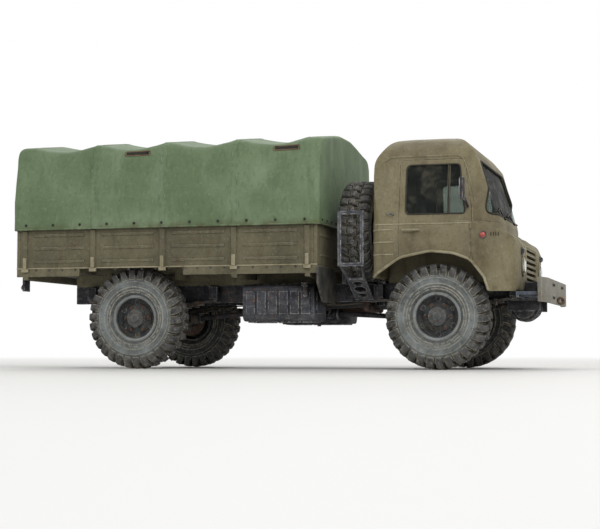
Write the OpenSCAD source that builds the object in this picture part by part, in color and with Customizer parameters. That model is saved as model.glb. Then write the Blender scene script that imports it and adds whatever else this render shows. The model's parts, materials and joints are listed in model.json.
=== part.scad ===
// Scale model of a forward-control, four-wheel-drive military cargo truck.
// X runs forward, Y to the truck's left and Z up, in millimetres.
// The origin is on the ground under the middle of the model.
// Inside this file X is measured from the middle of the wheelbase.

/* [Running gear] */
// Distance between the front and rear axles
wheelbase = 94.3; // [92:0.1:98]
// Distance between the middles of the left and right tyres
track = 51; // [50.4:0.1:52]
// Outside radius of a tyre, out to the lugs
tyre_r = 15.5; // [15:0.1:15.8]
// Width of a tyre
tyre_w = 9.2; // [8:0.1:9.6]
// Radius of a wheel rim under the bead
rim_r = 6.8; // [6.4:0.1:7.2]
// Radius of the spindle that a wheel turns on
spindle_r = 1.5; // [1.2:0.05:1.8]
// Half the distance between the kingpins
kingpin_y = 18.6; // [18.2:0.1:18.8]
// Length of a steering arm behind its kingpin
steer_arm = 6; // [5.5:0.1:6.5]
// Half the distance between the leaf springs
spring_y = 14; // [13.9:0.05:14.1]

/* [Frame] */
// Outer face of a frame rail from the middle
rail_out = 12.6; // [12:0.1:12.8]
// Width of a rail's flanges
rail_w = 2.4; // [1.8:0.1:2.6]
// Height of a rail
rail_h = 5.5; // [5:0.1:6]
// Ground to the underside of the rails
rail_z = 20.5; // [20:0.1:21]
// Thickness of the rail's web and flanges
rail_t = 0.7; // [0.5:0.05:0.9]
// Middle of the wheelbase to the front face of the bumper
bumper_x = 78.9; // [78:0.1:82]
// Width of the bumper
bumper_w = 61.6; // [58:0.1:64]

/* [Cab] */
// Half width of the cab at the belt line
cab_half_w = 32; // [31:0.1:32.6]
// Ground to the top of the cab roof
cab_top = 69; // [68:0.1:72]
// Wheel centre back to the rear wall of the cab
cab_back = 19; // [18.4:0.1:19.4]
// Thickness of the cab panels
cab_t = 1; // [0.8:0.05:1.2]
// Gap round a door
door_gap = 0.12; // [0.08:0.01:0.2]

/* [Cargo bed] */
// Middle of the wheelbase to the front of the bed
bed_front = 12.1; // [11.5:0.1:12.6]
// Length of the bed
bed_l = 97.6; // [95:0.1:100]
// Half width of the bed over its side walls
bed_half_w = 32.6; // [32:0.1:33.2]
// Height of the bed's side walls above the floor
wall_h = 14.8; // [13:0.1:16]
// Thickness of the bed walls
wall_t = 1.2; // [1:0.05:1.4]
// Ground to the top of the canvas
canvas_top = 73; // [71:0.1:75]
// Ground to the lower edge of the canvas
canvas_low = 43; // [42:0.1:44]
// Thickness of the moulded canvas
canvas_t = 0.85; // [0.7:0.05:1]

/* [Load carried] */
// Length of a fuel tank
tank_l = 22.6; // [20:0.1:23]
// Width of a fuel tank
tank_w = 13.8; // [12:0.1:15]
// Height of a fuel tank
tank_h = 11.2; // [10:0.1:11.6]

/* [Hidden] */
$fn = 48;

// colours
olive = "#5f5b40";
olive_dark = "#4a4a35";
canvas_green = "#5c7a55";
frame_grey = "#3c4049";
rubber_grey = "#4e4d49";
rust = "#6a4a3c";
wheel_grey = "#7c8385";
glass_tint = "#9fb0b5";

// axles and frame
front_x = wheelbase / 2;
rear_x = -wheelbase / 2;
axle_z = tyre_r;
wheel_y = track / 2;
rail_in = rail_out - rail_w;
web_in = rail_out - rail_t;
rail_top = rail_z + rail_h;
bumper_t = 1.2;
bumper_back = bumper_x - bumper_t;
rail_rear = rear_x - 27;
cross_z0 = rail_z + rail_t + 0.05;
cross_z1 = rail_top - rail_t - 0.05;

// running fits and small gaps
pin_gap = 0.05;
seat_gap = 0.05;

// wheels, knuckles and axle tubes
bead_gap = 0.03;
tube_r = 1.7;
seat_block = 2.4;
seat_top = axle_z + 2.1;
pin_r = 0.8;
ear_gap = 0.12;
barrel_r = 2;
barrel_h = 3.6;
ear_t = 1.1;
spindle_end = wheel_y + 2.6;
hub_in = wheel_y - 3.6;
front_diff_y = 8.5;
diff_r = 4.2;
pinion_r = 1.6;
pinion_l = 7.4;
tie_pin_r = 0.5;
tie_r = 0.6;
tie_y = kingpin_y;
tie_x = front_x - steer_arm;
arm_z0 = axle_z - 1.75;
arm_h = 1.2;
tie_z = arm_z0 - 0.2 - tie_r;

// leaf springs
spring_w = 1.9;
spring_half = 21.6;
spring_rise = 1.6;
leaf_t = 0.6;
leaf_n = 4;
spring_eye_z = seat_top + leaf_t * leaf_n + spring_rise;

// cab levels and outline points, along X from the front axle
cab_rear_x = front_x - cab_back;
nose_x = front_x + 23.8;
nose_z = 22.7;
belt_z = 43.2;
cab_rear_z = 27;
floor_z = 35.2;
floor_t = 0.9;
// lower body in side view: nose, cowl and belt, then the wheel arch
cab_low = [[nose_x - 0.6, nose_z], [nose_x, nose_z + 4], [nose_x, 35.6], [nose_x - 1.8, 39.2],
  [front_x + 15, belt_z - 1.4], [front_x + 9, belt_z], [cab_rear_x, belt_z]];
cab_low_r = [1, 3, 3, 4, 8, 8, 0.2];
cab_arch = [[cab_rear_x, cab_rear_z], [front_x - 10.4, 32.6], [front_x - 1.5, 34.3], [front_x + 5.2, 33.6],
  [front_x + 10.2, 31.7], [front_x + 14, 26.6], [front_x + 15.2, nose_z]];
cab_arch_r = [0.2, 8, 8, 8, 4, 3, 0.2];
// greenhouse in side view: screen, roof and rear wall
cab_high = [[front_x + 18, 36], [front_x + 17.6, belt_z], [front_x + 11.4, 63.2],
  [front_x + 7.4, cab_top - 0.8], [front_x - 4, cab_top], [cab_rear_x + 5, cab_top - 1],
  [cab_rear_x + 0.4, 61.5], [cab_rear_x, 36]];
cab_high_r = [0.2, 2, 2.5, 6, 20, 5, 6, 0.2];

// cargo bed levels
bed_rear = bed_front - bed_l;
bearer_h = 1.5;
beam_h = 2.4;
beam_z0 = rail_top + bearer_h;
bed_z0 = beam_z0 + beam_h;
bed_floor_t = 1.2;
bed_z1 = bed_z0 + bed_floor_t;
lip_h = 1.4;
post_t = 0.6;
post_x = [for (i = [0 : 4]) bed_front - 3 - i * (bed_l - 6) / 4];
canvas_front = bed_front + seat_gap + canvas_t;
canvas_rear = bed_rear - seat_gap - canvas_t;
canvas_half_w = bed_half_w + seat_gap + canvas_t;

// fuel tanks
tank_x = -1.6;
tank_y = rail_out + 0.6;
tank_z = rail_z - 6.1;

// spare wheel, lying across behind the cab on the right
spare_x = 21.7;
spare_y = -13.4;
spare_z = rail_top + tyre_r + 0.35;

// hook in front of the bumper and canvas behind the bed set the overall length
hook_front = bumper_x + 2.5;
middle_x = (hook_front + canvas_rear) / 2;

// helpers

module placed() { translate([-middle_x, 0, 0]) children(); }
module both_sides() { children(); mirror([0, 1, 0]) children(); }
module box(x, y, z) { translate([x[0], y[0], z[0]]) cube([x[1] - x[0], y[1] - y[0], z[1] - z[0]]); }
module along_y(y) { translate([0, y[1], 0]) rotate([90, 0, 0]) linear_extrude(y[1] - y[0]) children(); }
module along_x(x) { translate([x[0], 0, 0]) rotate([90, 0, 90]) linear_extrude(x[1] - x[0]) children(); }
module along_z(z) { translate([0, 0, z[0]]) linear_extrude(z[1] - z[0]) children(); }
module disc_y(p, r, l) { translate(p) rotate([-90, 0, 0]) cylinder(r = r, h = l); }
module disc_x(p, r, l) { translate(p) rotate([0, 90, 0]) cylinder(r = r, h = l); }

// a round bar from a to b
module bar(a, b, r) {
  d = b - a;
  l = norm(d);
  translate(a) rotate([0, acos(d[2] / l), atan2(d[1], d[0])]) cylinder(r = r, h = l);
}
// a pipe along points with round elbows
module pipe(points, r) {
  for (i = [0 : len(points) - 2]) bar(points[i], points[i + 1], r);
  for (i = [1 : 1 : len(points) - 2]) translate(points[i]) sphere(r = r * 1.12);
}

function unit(v) = v / norm(v);
function around(p, i) = p[(i + len(p)) % len(p)];
// a closed outline, anticlockwise, with every edge moved inwards by d
function inset(p, d) = [for (i = [0 : len(p) - 1])
  let (a = around(p, i - 1), b = p[i], c = around(p, i + 1),
    u = unit(b - a), v = unit(c - b),
    m = [-u[1], u[0]] + [-v[1], v[0]])
  b + m * d / (1 + u * v)];
// a closed outline with its corners rounded to radii r, n steps a corner; small radii stay sharp
function rounded(p, r, n = 5) = [for (i = [0 : len(p) - 1])
  let (b = p[i], u = unit(around(p, i - 1) - b), v = unit(around(p, i + 1) - b),
    half = acos(u * v) / 2, t = r[i] / tan(half),
    c = b + unit(u + v) * r[i] / sin(half),
    s = b + u * t - c, e = b + v * t - c,
    a0 = atan2(s[1], s[0]), turn = atan2(s[0] * e[1] - s[1] * e[0], s * e))
  for (q = r[i] <= 0.2 ? [b] :
    [for (k = [0 : n]) c + r[i] * [cos(a0 + turn * k / n), sin(a0 + turn * k / n)]]) q];
function less(r, d) = [for (x = r) max(0.1, x - d)];
function mirrored(half) = concat(half, [for (i = [len(half) - 1 : -1 : 0]) [-half[i][0], half[i][1]]]);
function both(r) = concat(r, [for (i = [len(r) - 1 : -1 : 0]) r[i]]);

// frame

module frame_rails() color(frame_grey) both_sides() difference() {
  box([rail_rear, bumper_back], [rail_in, rail_out], [rail_z, rail_top]);
  box([rail_rear - 1, bumper_back + 1], [rail_in - 1, web_in], [rail_z + rail_t, rail_top - rail_t]);
}

// place along X and length along X of each crossmember
cross_table = [[bumper_back - 2.2, 1.6], [front_x + 17, 1.8], [front_x + 13.2, 1.6], [2.5, 4],
  [rear_x + 25.3, 4.6], [rear_x - 16, 2.4], [rail_rear + 1.2, 2.4]];
// a V brace runs back from the last crossmember but one to the tail
brace_x = [rail_rear + 1.2, rear_x - 16];
module frame_crossmembers() color(frame_grey) {
  for (c = cross_table)
    box([c[0] - c[1] / 2, c[0] + c[1] / 2], [-web_in, web_in], [cross_z0, cross_z1]);
  both_sides() along_z([cross_z0 + 1, cross_z1 - 1]) polygon([[brace_x[1], 1], [brace_x[1], 2.8],
    [brace_x[0], web_in - 0.4], [brace_x[0], web_in - 2.2]]);
}
winch_x0 = cross_table[1][0] + cross_table[1][1] / 2;
winch_x1 = cross_table[0][0] - cross_table[0][1] / 2;

bumper_z = [19.6, 26.6];
bumper_bend = 6;
bumper_sweep = 1.2;
cable_y = -1.4;
cable_r = 0.3;
cable_z = cross_z0 - cable_r - 0.3;
cable_hole_r = 0.5;
bumper_half = mirrored([[bumper_w / 2 - bumper_bend, bumper_x], [bumper_w / 2, bumper_x - bumper_sweep],
  [bumper_w / 2 - 0.3, bumper_back - bumper_sweep], [bumper_w / 2 - bumper_bend - 0.3, bumper_back]]);
module bumper_plan() { rotate(-90) polygon(bumper_half); }
module front_bumper() color(frame_grey) difference() {
  along_z(bumper_z) bumper_plan();
  disc_x([bumper_back - 1, cable_y, cable_z], cable_hole_r, bumper_t + 2);
}

// sheet aprons between the bumper and the nose, outside the rails
apron_z = [nose_z - 1.1, nose_z - 0.2];
module bumper_aprons() color(frame_grey) both_sides() difference() {
  box([nose_x - 0.7, bumper_back], [rail_out, bumper_w / 2 - 1], apron_z);
  translate([0, 0, apron_z[0] - 1]) linear_extrude(4)
    polygon([[bumper_back + 1, bumper_w / 2 - bumper_bend - 0.35],
      [bumper_back, bumper_w / 2 - bumper_bend - 0.35],
      [bumper_back - bumper_sweep - 1.2, bumper_w / 2 + 2], [bumper_back + 1, bumper_w / 2 + 2]]);
}

// winch between the rails, drum across the truck
winch_z = 18.5;
winch_x = (winch_x0 + winch_x1) / 2;
drum_r = 2.5;
cheek_t = 0.5;
// from right to left: start along Y and radius of the gear cover, gear housing, drum and flange
winch_table = [[-9.6, 3.3], [-8.4, 4], [-2.4, drum_r], [8.2, 3.3], [8.8, 0]];
winch_end = winch_table[len(winch_table) - 1][0];
module winch() color(frame_grey) {
  for (i = [0 : len(winch_table) - 2]) let (y = winch_table[i][0])
    disc_y([winch_x, y, winch_z], winch_table[i][1], winch_table[i + 1][0] - y);
  for (y = [winch_table[0][0] - cheek_t, winch_end])
    box([winch_x0, winch_x1], [y, y + cheek_t], [winch_z - 1, cross_z0 + 1]);
}
cable_x0 = winch_x + sqrt(drum_r * drum_r - pow(cable_z - cable_r - winch_z, 2)) + 0.1;
module winch_cable() color(wheel_grey) {
  bar([cable_x0, cable_y, cable_z], [bumper_x + 0.6, cable_y, cable_z], cable_r);
  translate([hook_front - 1.3, cable_y, cable_z]) rotate([90, 0, 0])
    rotate_extrude() translate([0.9, 0]) circle(r = 0.4);
}

// axles

module spindle(x, y0) { disc_y([x, y0, axle_z], spindle_r, spindle_end - y0); }
module axle_body(x, diff_y, pinion_dir, end_y) {
  disc_y([x, -end_y, axle_z], tube_r, 2 * end_y);
  translate([x, diff_y, axle_z]) sphere(r = diff_r);
  disc_x([x + min(0, pinion_dir * pinion_l), diff_y, axle_z], pinion_r, pinion_l);
  both_sides()
    box([x - seat_block, x + seat_block], [spring_y - 1.2, spring_y + 1.2], [axle_z - 2.1, seat_top]);
}
ear_z = barrel_h / 2 + ear_gap;
yoke_y = kingpin_y - barrel_r - ear_gap;
module front_axle() color(frame_grey) {
  axle_body(front_x, front_diff_y, -1, yoke_y);
  both_sides() {
    disc_y([front_x, yoke_y - 1, axle_z], ear_z + ear_t, 1);
    for (z = [axle_z - ear_z - ear_t, axle_z + ear_z])
      box([front_x - 1.6, front_x + 1.6], [yoke_y - 0.5, kingpin_y + 1.4], [z, z + ear_t]);
    translate([front_x, kingpin_y, axle_z - ear_z - ear_t]) cylinder(r = pin_r, h = 2 * (ear_z + ear_t));
  }
}
rear_end = wheel_y - 4.4;
module rear_axle() color(frame_grey) {
  axle_body(rear_x, 0, 1, rear_end);
  both_sides() spindle(rear_x, rear_end - 0.5);
}

// left knuckle: barrel on the kingpin, spindle outwards, steering arm backwards
module knuckle() color(frame_grey) difference() {
  union() {
    translate([front_x, kingpin_y, axle_z - barrel_h / 2]) cylinder(r = barrel_r, h = barrel_h);
    spindle(front_x, kingpin_y);
    disc_y([front_x, kingpin_y + 1.6, axle_z], 1.75, hub_in - kingpin_y - 2);
    box([tie_x, front_x], [tie_y - 0.7, tie_y + 0.7], [arm_z0, arm_z0 + arm_h]);
    translate([tie_x, tie_y, arm_z0]) cylinder(r = 1, h = arm_h);
  }
  translate([front_x, kingpin_y, 0]) cylinder(r = pin_r + pin_gap, h = 2 * axle_z);
  translate([tie_x, tie_y, 0]) cylinder(r = tie_pin_r + pin_gap, h = 2 * axle_z);
}
module knuckle_left() { knuckle(); }
module knuckle_right() { mirror([0, 1, 0]) knuckle(); }
module tie_rod() color(frame_grey) {
  disc_y([tie_x, -tie_y, tie_z], tie_r, 2 * tie_y);
  both_sides() {
    translate([tie_x, tie_y, tie_z]) sphere(r = 0.9);
    translate([tie_x, tie_y, tie_z]) cylinder(r = tie_pin_r, h = arm_z0 + arm_h - tie_z);
  }
}

// wheels, on a left-hand wheel's own axis, outside face towards +Z

lug_n = 26;
lug_h = 1;
lug_w = 2.5;
lug_top = sqrt(tyre_r * tyre_r - pow(lug_w / 2 + 0.5, 2));
tread_r = tyre_r - lug_h;
tyre_shape = rounded([[rim_r + bead_gap, -3.4], [rim_r + 3.4, -tyre_w / 2], [tread_r - 2, -tyre_w / 2 + 0.2],
  [tread_r, -tyre_w / 2 + 1], [tread_r, tyre_w / 2 - 1], [tread_r - 2, tyre_w / 2 - 0.2],
  [rim_r + 3.4, tyre_w / 2], [rim_r + bead_gap, 3.4]], [0.1, 2, 1, 0.6, 0.6, 1, 2, 0.1], 2);
// one lug of the upper row: its outline across the tread, from near the middle out to the shoulder
lug_line = [[0.2, -lug_w / 2 + 0.5], [tyre_w / 2 - 0.25, -lug_w / 2 - 0.3],
  [tyre_w / 2 - 0.25, lug_w / 2 - 0.3], [0.2, lug_w / 2 + 0.5]];
module lug() {
  translate([tread_r - 1, 0, 0]) rotate([90, 0, 90]) linear_extrude(lug_top - tread_r + 1)
    polygon([for (p = lug_line) [p[1], p[0]]]);
}
module tyre() color(rubber_grey) {
  rotate_extrude() polygon(tyre_shape);
  for (i = [0 : lug_n - 1]) {
    rotate(i * 360 / lug_n) lug();
    rotate((i + 0.5) * 360 / lug_n) mirror([0, 0, 1]) lug();
  }
}
rim_t = 0.7;
drum_wheel_r = 4.4;
hub_r = 2.5;
hub_out = 3.4;
module rim() color(wheel_grey) difference() {
  rotate_extrude() polygon([[spindle_r + pin_gap, -3.2], [drum_wheel_r, -3.2], [drum_wheel_r, 0.4],
    [rim_r - rim_t, 1.6], [rim_r - rim_t, -3.4], [rim_r, -3.4], [rim_r, 3.4], [rim_r - rim_t, 3.4],
    [rim_r - rim_t, 2.4], [hub_r + 0.4, 1.4], [hub_r, hub_out], [0, hub_out], [0, 2.8],
    [spindle_r + pin_gap, 2.8]]);
}
module wheel_at(x, side) { translate([x, side * wheel_y, axle_z]) rotate([-90 * side, 0, 0]) children(); }
module spare_at() { translate([spare_x, spare_y, spare_z]) rotate([0, 90, 0]) children(); }

// leaf springs and their brackets

spring_places = [front_x, rear_x];
function leaf_rise(d) = spring_rise * d * d / (spring_half * spring_half);
function leaf_half(i) = spring_half - (leaf_n - 1 - i) * 4.4;
leaf_steps = 5;
leaf_top = [for (k = [leaf_steps : -1 : -leaf_steps])
  let (d = k * spring_half / leaf_steps) [d, leaf_n * leaf_t + leaf_rise(d)]];
leaf_low = [for (i = [leaf_n - 1 : -1 : 0]) for (d = [leaf_half(i), i > 0 ? leaf_half(i - 1) : 0])
  [d, i * leaf_t + leaf_rise(d)]];
module spring_outline() {
  polygon(concat(leaf_top, [for (p = leaf_low) [-p[0], p[1]]],
    [for (k = [len(leaf_low) - 2 : -1 : 0]) leaf_low[k]]));
}
module leaf_springs() color(rust) both_sides() for (x = spring_places)
  translate([x, 0, seat_top]) along_y([spring_y - spring_w / 2, spring_y + spring_w / 2]) spring_outline();
bracket_l = 2.8;
module spring_brackets() color(frame_grey) both_sides() for (s = spring_places) for (e = [-1, 1])
  let (x = s + e * (spring_half - 1))
    box([x - bracket_l / 2, x + bracket_l / 2], [rail_out, spring_y + 1.2],
      [spring_eye_z + 0.02, rail_top - 0.4]);

// engine, gearbox, transfer case and shafts

engine_x = [front_x - 11, front_x + 11.6];
engine_half_w = 7.4;
engine_z = [21.4, 34];
engine_bevel = 1.6;
sump_x = [front_x + 3.4, front_x + 10];
sump_y = [-5, 3.6];
sump_z = 17.4;
// a block across the truck with its two lower edges bevelled
module bevelled(x, half_w, z, bevel) {
  along_x(x) polygon(mirrored([[half_w - bevel, z[0]], [half_w, z[0] + bevel], [half_w, z[1]]]));
}
module engine() color(rust) {
  bevelled(engine_x, engine_half_w, engine_z, engine_bevel);
  box(sump_x, sump_y, [sump_z, engine_z[0]]);
  both_sides() box([front_x + 5, front_x + 8], [engine_half_w, web_in], [cross_z0 + 0.4, cross_z1 - 0.4]);
}
radiator_x = [engine_x[1] + 3.6, engine_x[1] + 5.4];
radiator_half_w = 8.6;
module radiator() color(frame_grey) {
  box(radiator_x, [-radiator_half_w, radiator_half_w], [cross_z1, floor_z - 0.1]);
}
gearbox_x = [front_x - 23, engine_x[0]];
bell_x = gearbox_x[1] - 4.4;
bell_z = 24.4;
bell_r = 6;
gearbox_half_w = 3.4;
gearbox_z = [18.4, 25.6];
gearbox_bevel = 1.2;
shaft_z = 22;
module gearbox() color(frame_grey) {
  disc_x([bell_x, 0, bell_z], bell_r, gearbox_x[1] - bell_x);
  bevelled([gearbox_x[0], bell_x], gearbox_half_w, gearbox_z, gearbox_bevel);
}
case_x = [-2.2, 4.6];
case_y = [-2.6, 8];
case_z = [16, cross_z0];
drum_x = -6.2;
front_shaft_z = 17.6;
rear_shaft_z = 18.6;
module transfer_case() color(frame_grey) {
  box(case_x, case_y, case_z);
  disc_x([drum_x, 0, rear_shaft_z], 2.3, case_x[0] - drum_x);
  box([case_x[1], case_x[1] + 1.6], [-1, 2.6], [shaft_z - 1.6, cross_z0]);
}
module shaft(a, b) { bar(a, b, 0.8); }
module propshafts() color(frame_grey) {
  shaft([gearbox_x[0] - 0.05, 0.6, shaft_z - 0.9], [case_x[1] + 1.65, 0.8, shaft_z - 0.9]);
  shaft([case_x[1] + 0.3, 6.2, front_shaft_z], [front_x - pinion_l - 0.3, front_diff_y, axle_z + 0.2]);
  shaft([drum_x - 0.3, 0, rear_shaft_z], [rear_x + pinion_l + 0.3, 0, axle_z + 0.2]);
}

// exhaust along the left rail, silencer and outlet

pipe_r = 0.9;
pipe_y = rail_in - 0.6;
cross_pipe_x = gearbox_x[0] - 2.6;
silencer_x = [-22.4, -2.9];
silencer_r = 1.8;
silencer_z = rail_z - 0.2 - silencer_r;
outlet_x = silencer_x[0] - 3.6;
module exhaust() color(rust) {
  pipe([[cross_pipe_x, -8.6, 24], [cross_pipe_x, -8.6, silencer_z], [cross_pipe_x, pipe_y, silencer_z],
    [silencer_x[1] - 1, pipe_y, silencer_z]], pipe_r);
  disc_x([silencer_x[0], pipe_y, silencer_z], silencer_r, silencer_x[1] - silencer_x[0]);
  pipe([[silencer_x[0] + 1, pipe_y, silencer_z], [outlet_x, pipe_y, silencer_z],
    [outlet_x, bed_half_w - 5, silencer_z]], pipe_r);
  box([rear_x + 25.2, rear_x + 26.2], [pipe_y - 0.5, pipe_y + 0.5],
    [silencer_z + silencer_r - 0.4, cross_z0]);
}

// fuel tanks outside the rails, each on two brackets

tank_yz = [[tank_y, tank_z], [tank_y + tank_w, tank_z], [tank_y + tank_w, tank_z + tank_h],
  [tank_y, tank_z + tank_h]];
module fuel_tank() color(frame_grey) {
  along_x([tank_x - tank_l / 2, tank_x + tank_l / 2]) polygon(rounded(tank_yz, [2, 2, 2, 2]));
  for (e = [-1, 1]) let (x = tank_x + e * tank_l / 3.4)
    box([x - 0.8, x + 0.8], [rail_out, tank_y], [tank_z + 3, rail_top - 0.6]);
}
module fuel_tank_left() { fuel_tank(); }
module fuel_tank_right() { mirror([0, 1, 0]) fuel_tank(); }
filler_x = tank_x + tank_l / 2 - 2.4;
filler_y = -(tank_y + tank_w);
module tank_filler() color(frame_grey) {
  disc_y([filler_x, filler_y - 1.3, tank_z + tank_h - 3.4], 0.7, 1.3);
  bar([filler_x, filler_y - 1, tank_z + tank_h - 3.4], [filler_x, filler_y - 2, tank_z + tank_h], 0.7);
  bar([filler_x, filler_y - 1.8, tank_z + tank_h - 0.6],
    [filler_x, filler_y - 2.1, tank_z + tank_h + 0.4], 1);
}

// air reservoirs between the rails, each with a smaller dome at both ends
reservoir_r = 1.85;
reservoir_l = 7.4;
dome_l = 0.8;
dome_in = 0.5;
module reservoir(x, y) {
  disc_y([x, y + dome_l, cross_z0 + 1.9], reservoir_r, reservoir_l - 2 * dome_l);
  disc_y([x, y, cross_z0 + 1.9], reservoir_r - dome_in, reservoir_l);
}
module air_reservoirs() color(rust) {
  reservoir(9.4, -web_in);
  reservoir(rear_x + 16.2, web_in - reservoir_l);
}

canister_x = 21.2;
canister_r = 3.1;
canister_y = [19, 31];
canister_z = 22.4;
module heater_canister() color(frame_grey) {
  disc_y([canister_x, canister_y[0], canister_z], canister_r, canister_y[1] - canister_y[0]);
  box([canister_x - 1.4, canister_x + 1.4], [rail_out, canister_y[0]], [canister_z - 1, canister_z + 1.4]);
}

// battery box on the left rail behind the cab, with a lid that stands out all round

battery_x = [bed_front + 1.7, bed_front + 8];
battery_y = [3.3, 24];
battery_h = 11;
lid_h = 1.3;
lid_out = 0.3;
module battery_box() color(frame_grey) {
  box(battery_x, battery_y, [rail_top, rail_top + battery_h]);
  box([battery_x[0] - lid_out, battery_x[1] + lid_out], [battery_y[0] - lid_out, battery_y[1] + lid_out],
    [rail_top + battery_h - lid_h, rail_top + battery_h]);
}

// spare wheel rack on the right rail

rack_x = [spare_x - tyre_w / 2 - 1.3, spare_x - tyre_w / 2 - 0.3];
cradle_w = 5.8;
cradle_tilt = 27;
cradle_l = 12.6;
rack_frame_y = [spare_y - tyre_r - 1.5, spare_y - tyre_r - 0.7];
rack_frame_z = [spare_z - 11.4, spare_z + 5];
module rack_frame() {
  difference() {
    box([spare_x - 3.9, spare_x + 3.9], rack_frame_y, rack_frame_z);
    box([spare_x - 2.9, spare_x + 2.9], [rack_frame_y[0] - 1, rack_frame_y[1] + 1],
      [rack_frame_z[0] + 1, rack_frame_z[1] - 1]);
  }
  cradle_end = [0, -rail_out - (cradle_l - 0.6) * cos(cradle_tilt),
    rail_z + 0.9 + (cradle_l - 0.6) * sin(cradle_tilt)];
  for (e = [-1, 1]) bar([spare_x + e * (cradle_w / 2 - 0.5), 0, 0] + cradle_end,
    [spare_x + e * 3.4, rack_frame_y[1] - 0.4, rack_frame_z[0] + 0.5], 0.45);
}
module rack_cradle() {
  translate([spare_x, -rail_out, rail_z + 0.6]) rotate([-cradle_tilt, 0, 0]) difference() {
    box([-cradle_w / 2, cradle_w / 2], [-cradle_l, 0.4], [0, 0.6]);
    for (h = [[-2.6, 1.3], [-6.2, 1.9], [-9.8, 1.5]]) translate([0, h[0], -1]) cylinder(r = h[1], h = 3);
  }
}
module spare_rack() color(frame_grey) {
  difference() {
    rack_cradle();
    box([0, 60], [-rail_out, 0], [0, 60]);
  }
  rack_frame();
  box(rack_x, [-17, -rail_in], [rail_top, spare_z + 4]);
  disc_x([rack_x[1], spare_y, spare_z], spindle_r - 0.1, tyre_w / 2 - 1.6);
}

// mud flaps hanging from the front of the bed and, on the left, from the back of the cab

flap_t = 0.5;
flap_z = rail_z - 0.5;
flap_y = rail_out + 0.4;
cab_flap_z = [rail_z - 2.5, cab_rear_z + 4];
module mud_flaps() color(rubber_grey) {
  both_sides() along_x([bed_front, bed_front + flap_t])
    polygon([[flap_y, flap_z], [bed_half_w - 5, flap_z], [bed_half_w + 0.6, bed_z0 - 4.4],
      [bed_half_w + 0.6, bed_z0 + 0.6], [flap_y, bed_z0 + 0.6]]);
  box([cab_rear_x - flap_t, cab_rear_x], [spring_y + 1.8, cab_half_w - 1.4], cab_flap_z);
}

// tow hitch behind the last crossmember
hitch_r = 0.7;
hitch_l = 1.6;
hitch_z = 23;
hitch_x = rail_rear - 2.4;
module tow_hitch() color(frame_grey) difference() {
  union() {
    box([hitch_x, rail_rear], [-1, 1], [hitch_z, hitch_z + hitch_l]);
    translate([hitch_x, 0, hitch_z]) cylinder(r = 1.7, h = hitch_l);
  }
  translate([hitch_x, 0, 0]) cylinder(r = hitch_r, h = 60);
}

// cargo bed

// wheel boxes stand in the bed over the rear tyres
well_x = [rear_x - tyre_r - 1.6, rear_x + tyre_r + 1.6];
well_y = wheel_y - tyre_w / 2 - 1;
well_z = 2 * tyre_r + 1.2;
well_t = 0.8;
module bed_floor() color(olive) {
  difference() {
    union() {
      box([bed_rear, bed_front], [-bed_half_w, bed_half_w], [bed_z0, bed_z1]);
      both_sides() box([bed_rear, bed_front], [bed_half_w - 0.7, bed_half_w], [bed_z0 - lip_h, bed_z0]);
      for (x = post_x) box([x - 0.8, x + 0.8], [-bed_half_w, bed_half_w], [beam_z0, bed_z0]);
      both_sides() box([well_x[0] - well_t, well_x[1] + well_t], [well_y - well_t, bed_half_w - wall_t],
        [bed_z0, well_z + well_t]);
    }
    both_sides() box(well_x, [well_y, bed_half_w + 1], [0, well_z]);
  }
  both_sides() box([rail_rear, bed_front - 1], [rail_in, rail_out], [rail_top, bed_z0]);
}
wall_z = [bed_z1, bed_z1 + wall_h];
module bed_front_wall() color(olive)
  box([bed_front - wall_t, bed_front], [-bed_half_w, bed_half_w], wall_z);
module tailgate() color(olive)
  box([bed_rear, bed_rear + wall_t], [-bed_half_w, bed_half_w], wall_z);
module bed_side() color(olive) {
  box([bed_rear + wall_t, bed_front - wall_t], [bed_half_w - wall_t, bed_half_w], wall_z);
  for (x = post_x) box([x - 0.8, x + 0.8], [bed_half_w, bed_half_w + post_t], [bed_z1, canvas_low - 0.2]);
}
module bed_side_left() { bed_side(); }
module bed_side_right() { mirror([0, 1, 0]) bed_side(); }

// canvas over hoops, as one moulded shell

canvas_sag = 1.7;
canvas_side_z = 52;
canvas_r = both([0.1, 8, 4.2, 30]);
// outline at a place with sag e between 0 and 1, closed at z
function canvas_line(e, z) = mirrored([[canvas_half_w, z], [canvas_half_w, canvas_side_z],
  [canvas_half_w - 2.4 - e * canvas_sag * 0.8, canvas_top - 3.6 - e * canvas_sag],
  [7, canvas_top - e * canvas_sag]]);
function canvas_at(e, d, z) = rounded(inset(canvas_line(e, z), d), less(canvas_r, d), 3);
// places along X with their sag: the ends, the hoops and three between each pair of hoops
bay = (bed_l - 6) / 4;
canvas_stops = concat([[canvas_rear, 0.15]], [for (i = [0 : 3]) for (k = [0 : 3])
  [post_x[4 - i] + bay * k / 4, [0, 0.7, 1, 0.7][k]]], [[post_x[0], 0], [canvas_front, 0.15]]);
function loft_points(stops, d, z) = [for (s = stops) for (p = canvas_at(s[1], d, z)) [s[0], p[0], p[1]]];
function loft_faces(n, m) = concat([[for (j = [0 : m - 1]) j]],
  [for (i = [0 : n - 2]) for (j = [0 : m - 1])
    let (a = i * m + j, b = i * m + (j + 1) % m, c = b + m, d = a + m)
    for (t = [[a, d, c], [a, c, b]]) t],
  [[for (j = [m - 1 : -1 : 0]) (n - 1) * m + j]]);
module canvas_form(d, z) {
  points = loft_points(canvas_stops, d, z);
  n = len(canvas_stops);
  polyhedron(points, loft_faces(n, len(points) / n));
}
module canvas_cover() color(canvas_green) difference() {
  canvas_form(0, canvas_low);
  intersection() {
    canvas_form(canvas_t, canvas_low - 9);
    box([canvas_rear + canvas_t, canvas_front - canvas_t], [-50, 50], [0, 90]);
  }
}
bow_in = 0.8;
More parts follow.
